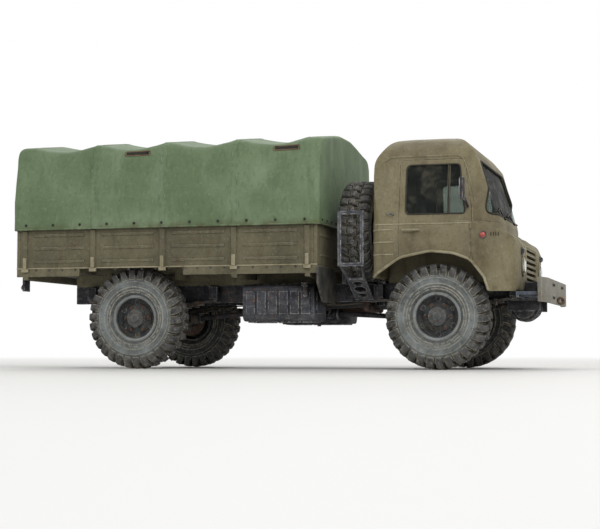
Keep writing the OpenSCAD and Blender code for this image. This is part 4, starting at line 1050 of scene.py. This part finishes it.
for end in (-1, 1):
    eyeletY = [canvasHigh.y * (-0.9 + 1.8 * k / last) for k in range(last + 1)]
    laceEyes += found(fromEnd(canvasShape, y, eyeletZ, end, proud) for y in eyeletY)
canvasBits.append(wirePiece("rearLaces", laces, 0.17, palePaint, 6))
canvasBits.append(boltPiece("endEyelets", laceEyes, 0.24, sealRubber))
fitAll(canvasBits, "canvas_green", "canvas sewn")


# bed: sill bolts, pressed panels between the posts, hinges, planks and tail lamps, in mm
bedLow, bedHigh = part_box("bed_floor")
bedLook = {"wall": 32.6, "bolts": 22, "boltUp": 30.55, "sillUp": 31.1, "panelUp": (33.2, 41.4),
           "postGap": 3.0, "ribUp": (34, 40), "gateY": (-22, -7.5, 7.5, 22)}
wallY, postGap = bedLook["wall"], bedLook["postGap"]
postX = [x / mm for x in hoopX]
bedBits = []
sill, sillLines = [], []
for side in (-1, 1):
    for k in range(bedLook["bolts"]):
        x = bedLow.x + (bedHigh.x - bedLow.x) * (k + 0.5) / bedLook["bolts"]
        sill.append((Vector((x, side * wallY * mm, bedLook["boltUp"] * mm)), (0, side, 0)))
    edgeY, edgeZ = side * (wallY - 0.05) * mm, bedLook["sillUp"] * mm
    sillLines.append([Vector((x, edgeY, edgeZ)) for x in (bedLow.x, bedHigh.x)])
bedBits.append(boltPiece("sillBolts", sill, 0.24, studPaint))
bedBits.append(wirePiece("sillEdges", sillLines, 0.22, palePaint))
low, high = bedLook["panelUp"]
panels = [((a + postGap, wallY - 0.1, z - 0.45), (b - postGap, wallY + 0.28, z + 0.45))
          for a, b in zip(postX, postX[1:]) for z in (low, (low + high) / 2, high)]
bedBits.append(blockPiece("sideRibs", mirrorBoxes(panels), bedPaint, 0.2))
hinges = []
for x in postX:
    hinges.append(((x - 0.55, wallY + 0.5, 31.0), (x + 0.55, wallY + 0.95, 34.4)))
    hinges.append(((x - 1.1, wallY - 0.1, 29.95), (x + 1.1, wallY + 0.75, 31.0)))
bedBits.append(blockPiece("postHinges", mirrorBoxes(hinges), palePaint))
gate = [((-83.3, y - 0.8, 31.3), (-82.9, y + 0.8, 42.6)) for y in bedLook["gateY"]]
gate += [((-83.25, -30.5, z - 0.5), (-82.9, 30.5, z + 0.5)) for z in bedLook["ribUp"]]
bedBits.append(blockPiece("gateRibs", gate, bedPaint, 0.15))
frontRibs = [((14.5, -30, z - 0.4), (14.8, 30, z + 0.4)) for z in bedLook["ribUp"]]
bedBits.append(blockPiece("frontWallRibs", frontRibs, bedPaint))
# planks between the beams, clear of the frame rails and the wheel boxes
plankLook = {"count": 9, "width": 3.5, "pitch": 3.8, "wells": (-62.8, -26.5), "wellY": 18.9,
             "rail": (8.5, 12.7), "z": (29.6, 30.0), "beam": 0.9, "edge": 31.7}
wellRear, wellFront = plankLook["wells"]
bottom, top = plankLook["z"]
planks = []
for a, b in zip(postX[1:] + [bedHigh.x / mm], postX):
    first, last = min(a, b), max(a, b)
    begin, stop = first + plankLook["beam"], last - plankLook["beam"]
    for k in range(plankLook["count"]):
        y = 0.15 + k * plankLook["pitch"]
        if plankLook["rail"][0] < y < plankLook["rail"][1]:
            continue
        spans = [(begin, stop)]
        if y + plankLook["width"] > plankLook["wellY"] and last > wellRear and first < wellFront:
            spans = [(begin, min(stop, wellRear)), (max(begin, wellFront), stop)]
        outer = min(y + plankLook["width"], plankLook["edge"])
        planks += [((x0, y, bottom), (x1, outer, top)) for x0, x1 in spans if x1 - x0 > 1]
bedBits.append(blockPiece("floorPlanks", mirrorBoxes(planks), bedPaint, 0.1))
brackets = mirrorBoxes([((-82.6, 25.4, 24.2), (-81.9, 29.4, 30.0))])
bedBits.append(blockPiece("tailLampBrackets", brackets, framePaint, 0.1))
fitAll(bedBits, "bed_paint", "bed fitted")
tailParts = []
for side in (-1, 1):
    for y, paint in ((26.5, orangeLens), (28.3, redLens)):
        spot = spotAt(-82.6, side * y, 25.4)
        tailParts.append(turnedPiece("tail_lens", lampLook["marker"], 18, paint, spot, (-1, 0, 0)))
        tailParts.append(turnedPiece("tail_rim", lampLook["markerRim"], 18, framePaint, spot, (-1, 0, 0)))
attach(joinPieces("tail_lamps", tailParts), "chassis", "lamp_clear")


# tanks: pressed cells on the bottom, sides and ends, and a drain plug
tankLook = {"x": (-10.4, 12.2), "y": (13.2, 27.0), "z": (14.4, 25.6), "cells": 6, "edge": 0.9, "gap": 0.35,
            "proud": 0.38, "plugCells": (2, 3), "plugY": 20.1}
tx0, tx1 = tankLook["x"]
ty0, ty1 = tankLook["y"]
tz0, tz1 = tankLook["z"]
under, over = tz0 - tankLook["proud"], tz0 + 0.2
cellStep = (tx1 - tx0 - 2 * tankLook["edge"]) / tankLook["cells"]
cells = []
for k in range(tankLook["cells"]):
    a = tx0 + tankLook["edge"] + cellStep * k + tankLook["gap"]
    b = tx0 + tankLook["edge"] + cellStep * (k + 1) - tankLook["gap"]
    cells.append(((a, ty1 - 0.2, tz0 + 2.1), (b, ty1 + tankLook["proud"], tz1 - 2.1)))
    rows = [(ty1 - 3.0, ty1 - 1.7), (ty0 + 1.7, ty0 + 3.0)]
    if k not in tankLook["plugCells"]:
        rows += [(17.3, 19.9), (20.3, 22.9)]
    cells += [((a, y0, under), (b, y1, over)) for y0, y1 in rows]
    cells.append(((a, ty0 + 2.2, tz1 - 0.2), (b, ty1 - 2.2, tz1 + 0.2)))
middleX = (tx0 + tx1) / 2
cells.append(((middleX - cellStep + 0.4, 17.3, tz0 - 0.2), (middleX + cellStep - 0.4, 22.9, over)))
for x in tankLook["x"]:
    cells.append(((x - 0.3, ty0 + 2.2, tz0 + 2.2), (x + 0.3, ty1 - 2.2, tz1 - 2.2)))
tankBits = [blockPiece("tankCells", mirrorBoxes(cells), tankPaint, 0.16)]
ring = [(tx0 + 1.1, 16.75), (tx1 - 1.1, 16.75), (tx1 - 1.1, 23.45), (tx0 + 1.1, 23.45)]
seamLines = [[spotAt(x, side * y, tz0 - 0.02) for x, y in ring] for side in (-1, 1)]
tankBits.append(wirePiece("tankSeams", seamLines, 0.17, rustPaint, 6, True))
plugs = [(spotAt(middleX, side * tankLook["plugY"], tz0 - 0.2), (0, 0, -1)) for side in (-1, 1)]
tankBits.append(boltPiece("drainPlugs", plugs, 0.62, hubRust))
plugRing = [(1.0, 0.0), (1.5, 0.0), (1.4, 0.25), (1.1, 0.25)]
plugRings = [turnedPiece("plugRing", plugRing, 28, tankPaint, spot, facing) for spot, facing in plugs]
tankBits.append(joinPieces("plugRings", plugRings))
fitAll(tankBits, "chassis_paint", "tanks pressed")


# running gear: spring clips, U-bolts and plates, brake plates, cover bolts and frame rivets, in mm
frontAxle, rearAxle, hubZ = 49.65, -44.65, 15.5
gearLook = {"springY": 14.0, "clipAt": (10.5, 15.0), "loopX": (-1.9, 1.9), "loopY": (-1.25, 1.25),
            "coverBolts": 12, "coverRing": 3.1, "rivets": 46, "rivetStart": -69.5, "rivetStep": 3.05,
            "brakeY": 21.1, "brakeRing": 3.6, "brakeStuds": 8, "pipeY": (-9.7, 9.7)}
diffTable = [(frontAxle, 8.5, 1), (rearAxle, 0.0, -1)]  # x, y and the way the cover faces
springY = gearLook["springY"]
near, far = [springY + dy for dy in gearLook["loopY"]]
plates, clips, loops, nuts = [], [], [], []
for ax in (frontAxle, rearAxle):
    plates.append(((ax - 2.7, springY - 1.7, 12.7), (ax + 2.7, springY + 1.7, 13.5)))
    plates.append(((ax - 2.5, springY - 1.3, 20.0), (ax + 2.5, springY + 1.3, 20.5)))
    for d in gearLook["clipAt"]:
        rise = 1.6 * d * d / 466.6  # the leaf's curve
        for x in (ax - d, ax + d):
            clips.append(((x - 0.4, springY - 1.2, 18.3 + rise), (x + 0.4, springY + 1.2, 20.25 + rise)))
    for side in (-1, 1):
        for dx in gearLook["loopX"]:
            line = roundOff([(near, 12.2), (near, 20.8), (far, 20.8), (far, 12.2)], [0, 0.6, 0.6, 0], 5)
            loops.append([spotAt(ax + dx, side * p.x, p.y) for p in line])
            nuts += [(spotAt(ax + dx, side * y, 12.65), (0, 0, -1)) for y in (near, far)]
gearBits = [blockPiece("springPlates", mirrorBoxes(plates), axlePaint, 0.15),
            blockPiece("springClips", mirrorBoxes(clips), springPaint, 0.1),
            wirePiece("springLoops", loops, 0.28, axlePaint),
            boltPiece("springNuts", nuts, 0.34, studPaint)]
axleSkin = skinOf("front_axle", "rear_axle")
coverHits = []
for ax, y, toward in diffTable:
    for c, s in ringOf(gearLook["coverBolts"]):
        start = spotAt(ax + toward * 12, y + gearLook["coverRing"] * c, hubZ + gearLook["coverRing"] * s)
        coverHits.append(onSkin(axleSkin, start, (-toward, 0, 0)))
gearBits.append(boltPiece("coverBolts", found(coverHits), 0.25, studPaint))
rivets = []
for k in range(gearLook["rivets"]):
    x = gearLook["rivetStart"] + k * gearLook["rivetStep"]
    for side in (-1, 1):
        rivets += [(spotAt(x, side * 12.6, z), (0, side, 0)) for z in ((21.6, 24.9) if k % 2 else (23.2,))]
        if k % 2:
            rivets.append((spotAt(x + 1.5, side * 11.4, 20.5), (0, 0, -1)))
gearBits.append(boltPiece("frameRivets", rivets, 0.17, studPaint))
pipeRun = [(64, 20.9), (50, 21.0), (28, 21.6), (0, 21.2), (-30, 21.6), (-60, 21.0)]
pipes = [[spotAt(x, y, z) for x, z in pipeRun] for y in gearLook["pipeY"]]
gearBits.append(wirePiece("brakePipes", pipes, 0.22, wireMetal, 6))
fitAll(gearBits, "chassis_paint", "running gear fitted")
plateLine = [(1.9, 0.0), (4.6, 0.0), (4.9, 0.15), (4.9, 0.6), (4.6, 0.75), (1.9, 0.75)]
brakeTable = [("front_right", "knuckle_right", frontAxle, -1), ("front_left", "knuckle_left", frontAxle, 1),
              ("rear_right", "chassis", rearAxle, -1), ("rear_left", "chassis", rearAxle, 1)]
for tag, body, ax, side in brakeTable:
    y, ring = side * gearLook["brakeY"], gearLook["brakeRing"]
    disc = turnedPiece("brakeDisc_" + tag, plateLine, 40, hubRust, spotAt(ax, y, hubZ), (0, side, 0))
    studRing = ringOf(gearLook["brakeStuds"])
    ringBolts = [(spotAt(ax + ring * c, y, hubZ + ring * s), (0, -side, 0)) for c, s in studRing]
    studs = boltPiece("brakeStuds_" + tag, ringBolts, 0.24, studPaint)
    attach(joinPieces("brakePlate_" + tag, [disc, studs]), body, "chassis_paint")
print("brake plates fitted")


# winch drum with its wound cable and gear cover, the canister's fins, and bands round both and the silencer
winchLook = {"x": 72.4, "z": 18.5, "y": (-1.9, 7.7), "radius": 2.72, "turns": 12, "wire": 0.43,
             "bolts": [(-9.6, 2.5, 6, -1), (-2.4, 3.4, 10, 1), (-8.4, 3.7, 10, -1)]}  # y, ring, count, facing
winchX, winchZ = winchLook["x"], winchLook["z"]
wire, (startY, endY) = winchLook["wire"], winchLook["y"]
turn = lathe([(winchLook["radius"] + wire * c, wire * s) for c, s in ringOf(8)], 40)
bmesh.ops.translate(turn, verts=turn.verts, vec=spotAt(winchX, startY, winchZ))
pitch = (endY - startY) / (winchLook["turns"] - 1)
cable = newPiece("woundCable", turn, cableMetal)
cable = grow(cable, rowTree, cableMetal, Count=winchLook["turns"], Step=(0, pitch * mm, 0))
attach(cable, "chassis", "cable_wire")
winchBolts = []
for y, ring, count, face in winchLook["bolts"]:
    winchBolts += [(spotAt(winchX + ring * c, y, winchZ + ring * s), (0, face, 0)) for c, s in ringOf(count)]
attach(boltPiece("winchBolts", winchBolts, 0.24, studPaint), "chassis", "chassis_paint")
finTable = [("winchRibs", 4.0, (0.5, 5.4, 0.4), 14, 0.1, (winchX, -5.4, winchZ)),
            ("canisterFins", 3.1, (0.55, 9.0, 0.36), 22, 0.0, (23.7, 25.0, 22.4))]
for label, out, size, count, start, centre in finTable:
    fin = bmesh.new()
    place = Matrix.Translation(spotAt(out, 0, 0)) @ Matrix.Diagonal([v * mm for v in size] + [1])
    bmesh.ops.create_cube(fin, size=1, matrix=place)
    fins = grow(newPiece(label, fin, framePaint), spinTree, framePaint, Count=count, Start=start)
    fins.data.transform(Matrix.Translation(spotAt(*centre)))
    attach(fins, "chassis", "chassis_paint")
band = [(0.0, -0.45), (0.22, -0.45), (0.3, 0.0), (0.22, 0.45), (0.0, 0.45)]
cap = [(0.0, -0.7), (0.3, -0.7), (0.42, 0.0), (0.3, 0.7), (0.0, 0.7)]
alongX, alongY = (1, 0, 0), (0, 1, 0)
bandTable = [
    ("silencer", 1.8, band, [(-19.3, 9.6, 18.5), (-10.0, 9.6, 18.5), (-1.0, 9.6, 18.5)], alongX, rustPaint),
    ("canister", 3.1, cap, [(23.7, 19.8, 22.4), (23.7, 30.2, 22.4)], alongY, hubRust),
    ("drum", 2.9, band, [(winchX, -2.1, winchZ), (winchX, 8.0, winchZ)], alongY, framePaint),
    ("gear", 4.0, band, [(winchX, -8.1, winchZ), (winchX, -2.8, winchZ)], alongY, framePaint),
]
for label, radius, shape, centres, facing, paint in bandTable:
    outline = [(radius + a, b) for a, b in shape]
    rings = [turnedPiece(label + "Ring", outline, 36, paint, spotAt(*c), facing) for c in centres]
    attach(joinPieces(label + "_bands", rings), "chassis", "chassis_paint")
bumperBolts = [(spotAt(81.4, y, z), alongX) for y in (-13, -10, 10, 13) for z in (21.2, 25.0)]
grooves = [((x, 13.4, 21.4), (x + 1.6, 27.4, 21.65)) for x in (73.9, 75.8, 77.7)]
grooves += [((73.2, 27.6, 21.2), (79.4, 28.3, 21.65)), ((72.8, 13.0, 20.9), (73.5, 29.6, 21.65))]
braces = [inMm([(79.3, side * 16.5, 21.35), (73.6, side * 13.6, 21.35)]) for side in (-1, 1)]
bumperBits = [boltPiece("bumperBolts", bumperBolts, 0.36, studPaint),
              blockPiece("apronRibs", mirrorBoxes(grooves), apronPaint, 0.08),
              wirePiece("apronBraces", braces, 0.42, apronPaint)]
fitAll(bumperBits, "bumper_paint", "winch, bands and bumper fitted")


# engine, gearbox, shafts and battery box: flanges, ribs, bolts and joints, in mm
sump = [((52.8, -5.5, 21.0), (60.0, 4.1, 21.5)), ((53.9, -3.6, 17.15), (58.3, 2.2, 17.5))]
sump += [((x, -7.7, 22.6), (x + 0.9, 7.7, 33)) for x in (40.5, 44.5, 48.5, 52.5, 56.5)]
driveBits = [blockPiece("engineRibs", sump, enginePaint)]
flange = [(spotAt(x, y, 21.0), (0, 0, -1)) for x in (53.2, 55.0, 56.8, 59.6) for y in (-5.25, 3.85)]
driveBits.append(boltPiece("sumpBolts", flange, 0.26, studPaint))
pulley = [(0.0, -0.7), (3.4, -0.7), (3.4, -0.3), (2.8, 0.0), (3.4, 0.3), (3.4, 0.7), (1.4, 0.7), (1.2, 1.2),
          (0.0, 1.2)]
driveBits.append(turnedPiece("crankPulley", pulley, 36, enginePaint, spotAt(62.0, 0, 24.0), alongX))
housing = [((x, -3.75, 19.6), (x + 0.5, 3.75, 25.2)) for x in (28.0, 30.4, 32.6)]
housing += [((27.0, -3.9, 21.8), (34.0, 3.9, 22.4)), ((-4.0, -3.0, 18.3), (9.0, 8.4, 18.9)),
            ((0.6, -2.9, 16.6), (1.2, 8.3, 21)), ((4.4, -2.9, 16.6), (5.0, 8.3, 21))]
driveBits.append(blockPiece("gearRibs", housing, framePaint, 0.1))
bell = [(spotAt(34.2, 5.5 * c, 24.4 + 5.5 * s), (-1, 0, 0)) for c, s in ringOf(14)]
bell += [(spotAt(x, y, 16.0), (0, 0, -1)) for x in (1.2, 3.4, 5.6) for y in (-1.8, 7.2)]
driveBits.append(boltPiece("gearBolts", bell, 0.26, studPaint))
# each shaft has a knob between two discs at both ends
knob = [(0.0, -1.3), (0.7, -1.12), (1.15, -0.65), (1.3, 0.0), (1.15, 0.65), (0.7, 1.12), (0.0, 1.3)]
disc = [(0.0, -0.25), (1.75, -0.25), (1.75, 0.25), (0.0, 0.25)]
ball = [(0.0, -1.85), (0.9, -1.62), (1.6, -0.92), (1.85, 0.0), (1.6, 0.92), (0.9, 1.62), (0.0, 1.85)]
jointTable = [((25.2, 0.6, 21.1), (8.4, 0.8, 21.1)), ((8.2, 6.25, 17.5), (41.0, 8.45, 15.75)),
              ((-5.0, 0, 18.5), (-36.0, 0, 15.8))]
joints = []
for begin, stop in jointTable:
    begin, stop = Vector(begin), Vector(stop)
    along = (stop - begin).normalized()
    for spot in (begin + along * 1.4, stop - along * 1.4):
        joints.append(turnedPiece("jointKnob", knob, 24, framePaint, spot * mm, along))
        for shift in (-1.3, 1.3):
            joints.append(turnedPiece("jointDisc", disc, 24, framePaint, (spot + along * shift) * mm, along))
for spot, paint in (((38.6, 8.3, 15.9), axlePaint), ((-35.4, 0, 15.9), studPaint)):
    joints.append(turnedPiece("jointBall", ball, 28, paint, spotAt(*spot), alongX))
driveBits.append(joinPieces("shaftJoints", joints))
ringLine = [(4.0, -0.3), (4.75, -0.3), (4.75, 0.3), (4.0, 0.3)]
cover = [(0.0, 0.0), (3.2, 0.0), (3.0, 0.5), (1.8, 1.0), (0.0, 1.2)]
rings = []
for ax, y, toward in diffTable:
    ringSpot, coverSpot = [spotAt(ax + toward * out, y, hubZ) for out in (0.6, 3.3)]
    rings.append(turnedPiece("diffRing", ringLine, 40, axlePaint, ringSpot, alongX))
    rings.append(turnedPiece("diffCover", cover, 32, axlePaint, coverSpot, (toward, 0, 0)))
driveBits.append(joinPieces("diffCovers", rings))
crate = [((16.0, y, 26.4), (22.9, y + 0.7, 35.9)) for y in (5.0, 9.0, 13.0, 17.0, 21.0)]
crate += [((15.9, 3.1, z), (23.0, 24.2, z + 0.6)) for z in (27.4, 32.0)]
driveBits.append(blockPiece("batteryRibs", crate, framePaint))
catches = [inMm([(23.0, y - 1.2, 33.0), (23.6, y - 1.2, 33.2), (23.6, y + 1.2, 33.2), (23.0, y + 1.2, 33.0)])
           for y in (8, 19)]
driveBits.append(wirePiece("batteryGrips", catches, 0.24, studPaint))
# hoses, rods and pipes as corners, bent round at each
hoseTable = [
    ("coolantHose", 0.55, sealRubber,
     [[(52, -7.6, 27), (48, -9.0, 22.4), (41, -8.8, 20.6), (34, -6.6, 20.4), (30, -4, 22)]]),
    ("intakeHose", 0.8, sealRubber,
     [[(28.6, 8.0, 33.2), (31, 7.2, 33.8), (36, 6.0, 33.4), (40.5, 4.5, 32.4)]]),
    ("fuelPipe", 0.26, wireMetal,
     [[(5, -13.4, 20.2), (10, -11.4, 19.9), (16, -9.4, 19.8), (25, -8.0, 20.4), (34, -6.2, 22.4)]]),
    ("shiftRods", 0.32, studPaint,
     [[(28, -2.6, 19.6), (7.0, -1.8, 19.8)], [(28, -1.0, 19.5), (7.0, -0.2, 19.0)]]),
    ("axlePipes", 0.2, wireMetal, [[(52.2, -17, 17.6), (52.2, -8, 18), (52.6, 3, 18.6), (54.5, 9.4, 20.8)],
                                   [(-47.4, -17, 17.6), (-47.4, -6, 17.9), (-49.6, 2, 19), (-47.4, 9.4, 21)],
                                   [(-47.4, 17, 17.6), (-47.4, 9, 17.9), (-49.2, 5, 19)]]),
    ("brakeCable", 0.22, sealRubber,
     [[(22, 3.5, 23), (14, 8.6, 21), (-6, 5.8, 20.6), (-26, 4, 19.8), (-41, 3.4, 18.4)]]),
    ("breather", 0.3, sealRubber, [[(-44.65, 0.5, 19.4), (-42, 2, 22.4), (-37, 8, 23.6), (-34, 10, 23.6)]]),
    ("airPipes", 0.24, wireMetal, [[(11.9, -5, 24), (15, -6, 21.4), (22, -9.6, 21.6)],
                                   [(-28.4, 5, 23), (-22, 7.5, 21.6), (-14, 9.6, 21.2)]]),
]
bend = 1.6 * mm
for label, radius, paint, runs in hoseTable:
    paths = [roundOff(inMm(line), [0] + [bend] * (len(line) - 2) + [0], 5) for line in runs]
    driveBits.append(wirePiece(label, paths, radius, paint))
# the engine's front support, a plate that bows forwards from rail to rail
cradle = {"front": 61.4, "sweep": 3.4, "reach": 10.5, "half": 1.1, "low": 20.3, "high": 21.2, "steps": 26}
cradleShape = bmesh.new()
rows, rim = [], []
for k in range(cradle["steps"] + 1):
    y = cradle["reach"] * (2 * k / cradle["steps"] - 1)
    x = cradle["front"] - cradle["sweep"] * (y / cradle["reach"]) ** 2
    back, fore, low, high = x - cradle["half"], x + cradle["half"], cradle["low"], cradle["high"]
    section = inMm([(back, y, low), (fore, y, low), (fore, y, high), (back, y, high)])
    rows.append([cradleShape.verts.new(p) for p in section])
    rim.append(section[0])
for a, b in zip(rows, rows[1:]):
    for i in range(4):
        j = (i + 1) % 4
        cradleShape.faces.new((a[i], a[j], b[j], b[i]))
cradleShape.faces.new(rows[0])
cradleShape.faces.new(rows[-1])
bmesh.ops.recalc_face_normals(cradleShape, faces=cradleShape.faces[:])
driveBits.append(softened(newPiece("engineCradle", cradleShape, enginePaint), 0.14))
driveBits.append(wirePiece("cradleRim", [rim], 0.32, rustPaint))
brace = [((46.5, -8.7, 20.5), (58.7, -7.7, 21.2)), ((46.5, -10.5, 20.6), (47.6, -7.7, 21.1))]
driveBits.append(blockPiece("sumpBrace", brace, hubRust))
driveBits.append(boltPiece("drainPlug", [(spotAt(56.1, -0.7, 17.1), (0, 0, -1))], 0.62, wireMetal))
starter = [(0.0, -3.6), (1.0, -3.6), (1.3, -3.2), (1.3, 1.4), (0.9, 1.7), (0.9, 3.4), (0.0, 3.4)]
driveBits.append(turnedPiece("starterMotor", starter, 24, enginePaint, spotAt(44.6, -8.6, 23.2), alongX))
drum = [(0.0, -4.0), (2.2, -4.0), (2.6, -3.7), (2.6, -0.6), (2.8, -0.5), (2.8, 0.1), (2.6, 0.2), (2.6, 3.2),
        (2.2, 3.8), (0.9, 4.0), (0.9, 4.6), (0.0, 4.6)]
driveBits.append(turnedPiece("airCleaner", drum, 36, framePaint, spotAt(28.6, 8.6, 30.0), (0, 0, 1)))
fitAll(driveBits, "chassis_paint", "drive line detailed")


# 1 where the camera looks, straight or by way of gloss or glass
def seenRay(tree):
    ray = addNode(tree, "ShaderNodeLightPath").outputs
    indirect = doMath(tree, "MAXIMUM", ray["Is Glossy Ray"], ray["Is Transmission Ray"])
    return doMath(tree, "MAXIMUM", ray["Is Camera Ray"], indirect)


# floor, light and camera
studio = {"azimuth": 16, "cameraHeight": 6 * mm, "distance": 0.47, "fieldOfView": 23.0,
          "aim": (0.0, 0.0, 33 * mm), "floorReach": 3.0, "floorFade": (0.12, 0.75),
          "sensor": 36, "skyLight": 0.45}
reach = studio["floorReach"]
floorMesh = bpy.data.meshes.new("floor")
floorCorners = [(-reach, -reach, 0), (reach, -reach, 0), (reach, reach, 0), (-reach, reach, 0)]
floorMesh.from_pydata(floorCorners, [], [(0, 1, 2, 3)])
floor = addObject("floor", floorMesh)
floorPaint, floorTree, floorShader, floorPlace = startMaterial("paleFloor")
floorShader.inputs["Base Color"].default_value = tint("e9e8e5")
floorShader.inputs["Roughness"].default_value = 0.6
floorMesh.materials.append(floorPaint)
floorOut = addNode(floorTree, "ShaderNodeVectorMath", {0: floorPlace}, operation="LENGTH").outputs["Value"]
fade = spread(floorTree, floorOut, *studio["floorFade"])
whiteShare = doMath(floorTree, "MULTIPLY", fade, seenRay(floorTree))
whiteGlow = addNode(floorTree, "ShaderNodeEmission", {"Color": (1, 1, 1, 1), "Strength": 1.0})
inputs = {0: whiteShare, 1: floorShader.outputs["BSDF"], 2: whiteGlow.outputs["Emission"]}
floorMix = addNode(floorTree, "ShaderNodeMixShader", inputs)
floorTree.links.new(floorMix.outputs["Shader"], floorTree.nodes["Material Output"].inputs["Surface"])


def softLamp(name, azimuth, elevation, distance, size, power):
    data = bpy.data.lights.new(name, "AREA")
    data.size = size
    data.energy = power
    lamp = addObject(name, data)
    a, e = math.radians(azimuth), math.radians(elevation)
    back = Vector((math.sin(a) * math.cos(e), -math.cos(a) * math.cos(e), math.sin(e)))
    lamp.location = back * distance + Vector(studio["aim"])
    lamp.rotation_mode = "QUATERNION"
    lamp.rotation_quaternion = (-back).to_track_quat("-Z", "Y")


softLamp("keyLamp", 45, 42, 0.7, 0.5, 2.0)
softLamp("fillLamp", -40, 25, 0.8, 0.6, 0.8)
softLamp("backLamp", 190, 50, 0.7, 0.5, 1.4)

world = bpy.data.worlds.new("studio")
bpy.context.scene.world = world
world.use_nodes = True
sky = world.node_tree
sky.nodes["Background"].inputs["Color"].default_value = (1, 1, 1, 1)
skyPower = doMath(sky, "MULTIPLY_ADD", seenRay(sky), 1 - studio["skyLight"], studio["skyLight"])
sky.links.new(skyPower, sky.nodes["Background"].inputs["Strength"])

lens = bpy.data.cameras.new("photoCamera")
lens.sensor_width = studio["sensor"]
lens.lens = studio["sensor"] / 2 / math.tan(math.radians(studio["fieldOfView"] / 2))
lens.clip_start = 0.01
camera = addObject("photoCamera", lens)
turn, away = math.radians(studio["azimuth"]), studio["distance"]
camera.location = (math.sin(turn) * away, -math.cos(turn) * away, studio["cameraHeight"])
camera.rotation_mode = "QUATERNION"
camera.rotation_quaternion = (Vector(studio["aim"]) - camera.location).to_track_quat("-Z", "Y")
bpy.context.scene.camera = camera
bpy.context.scene.view_settings.view_transform = "Standard"
print("studio set")
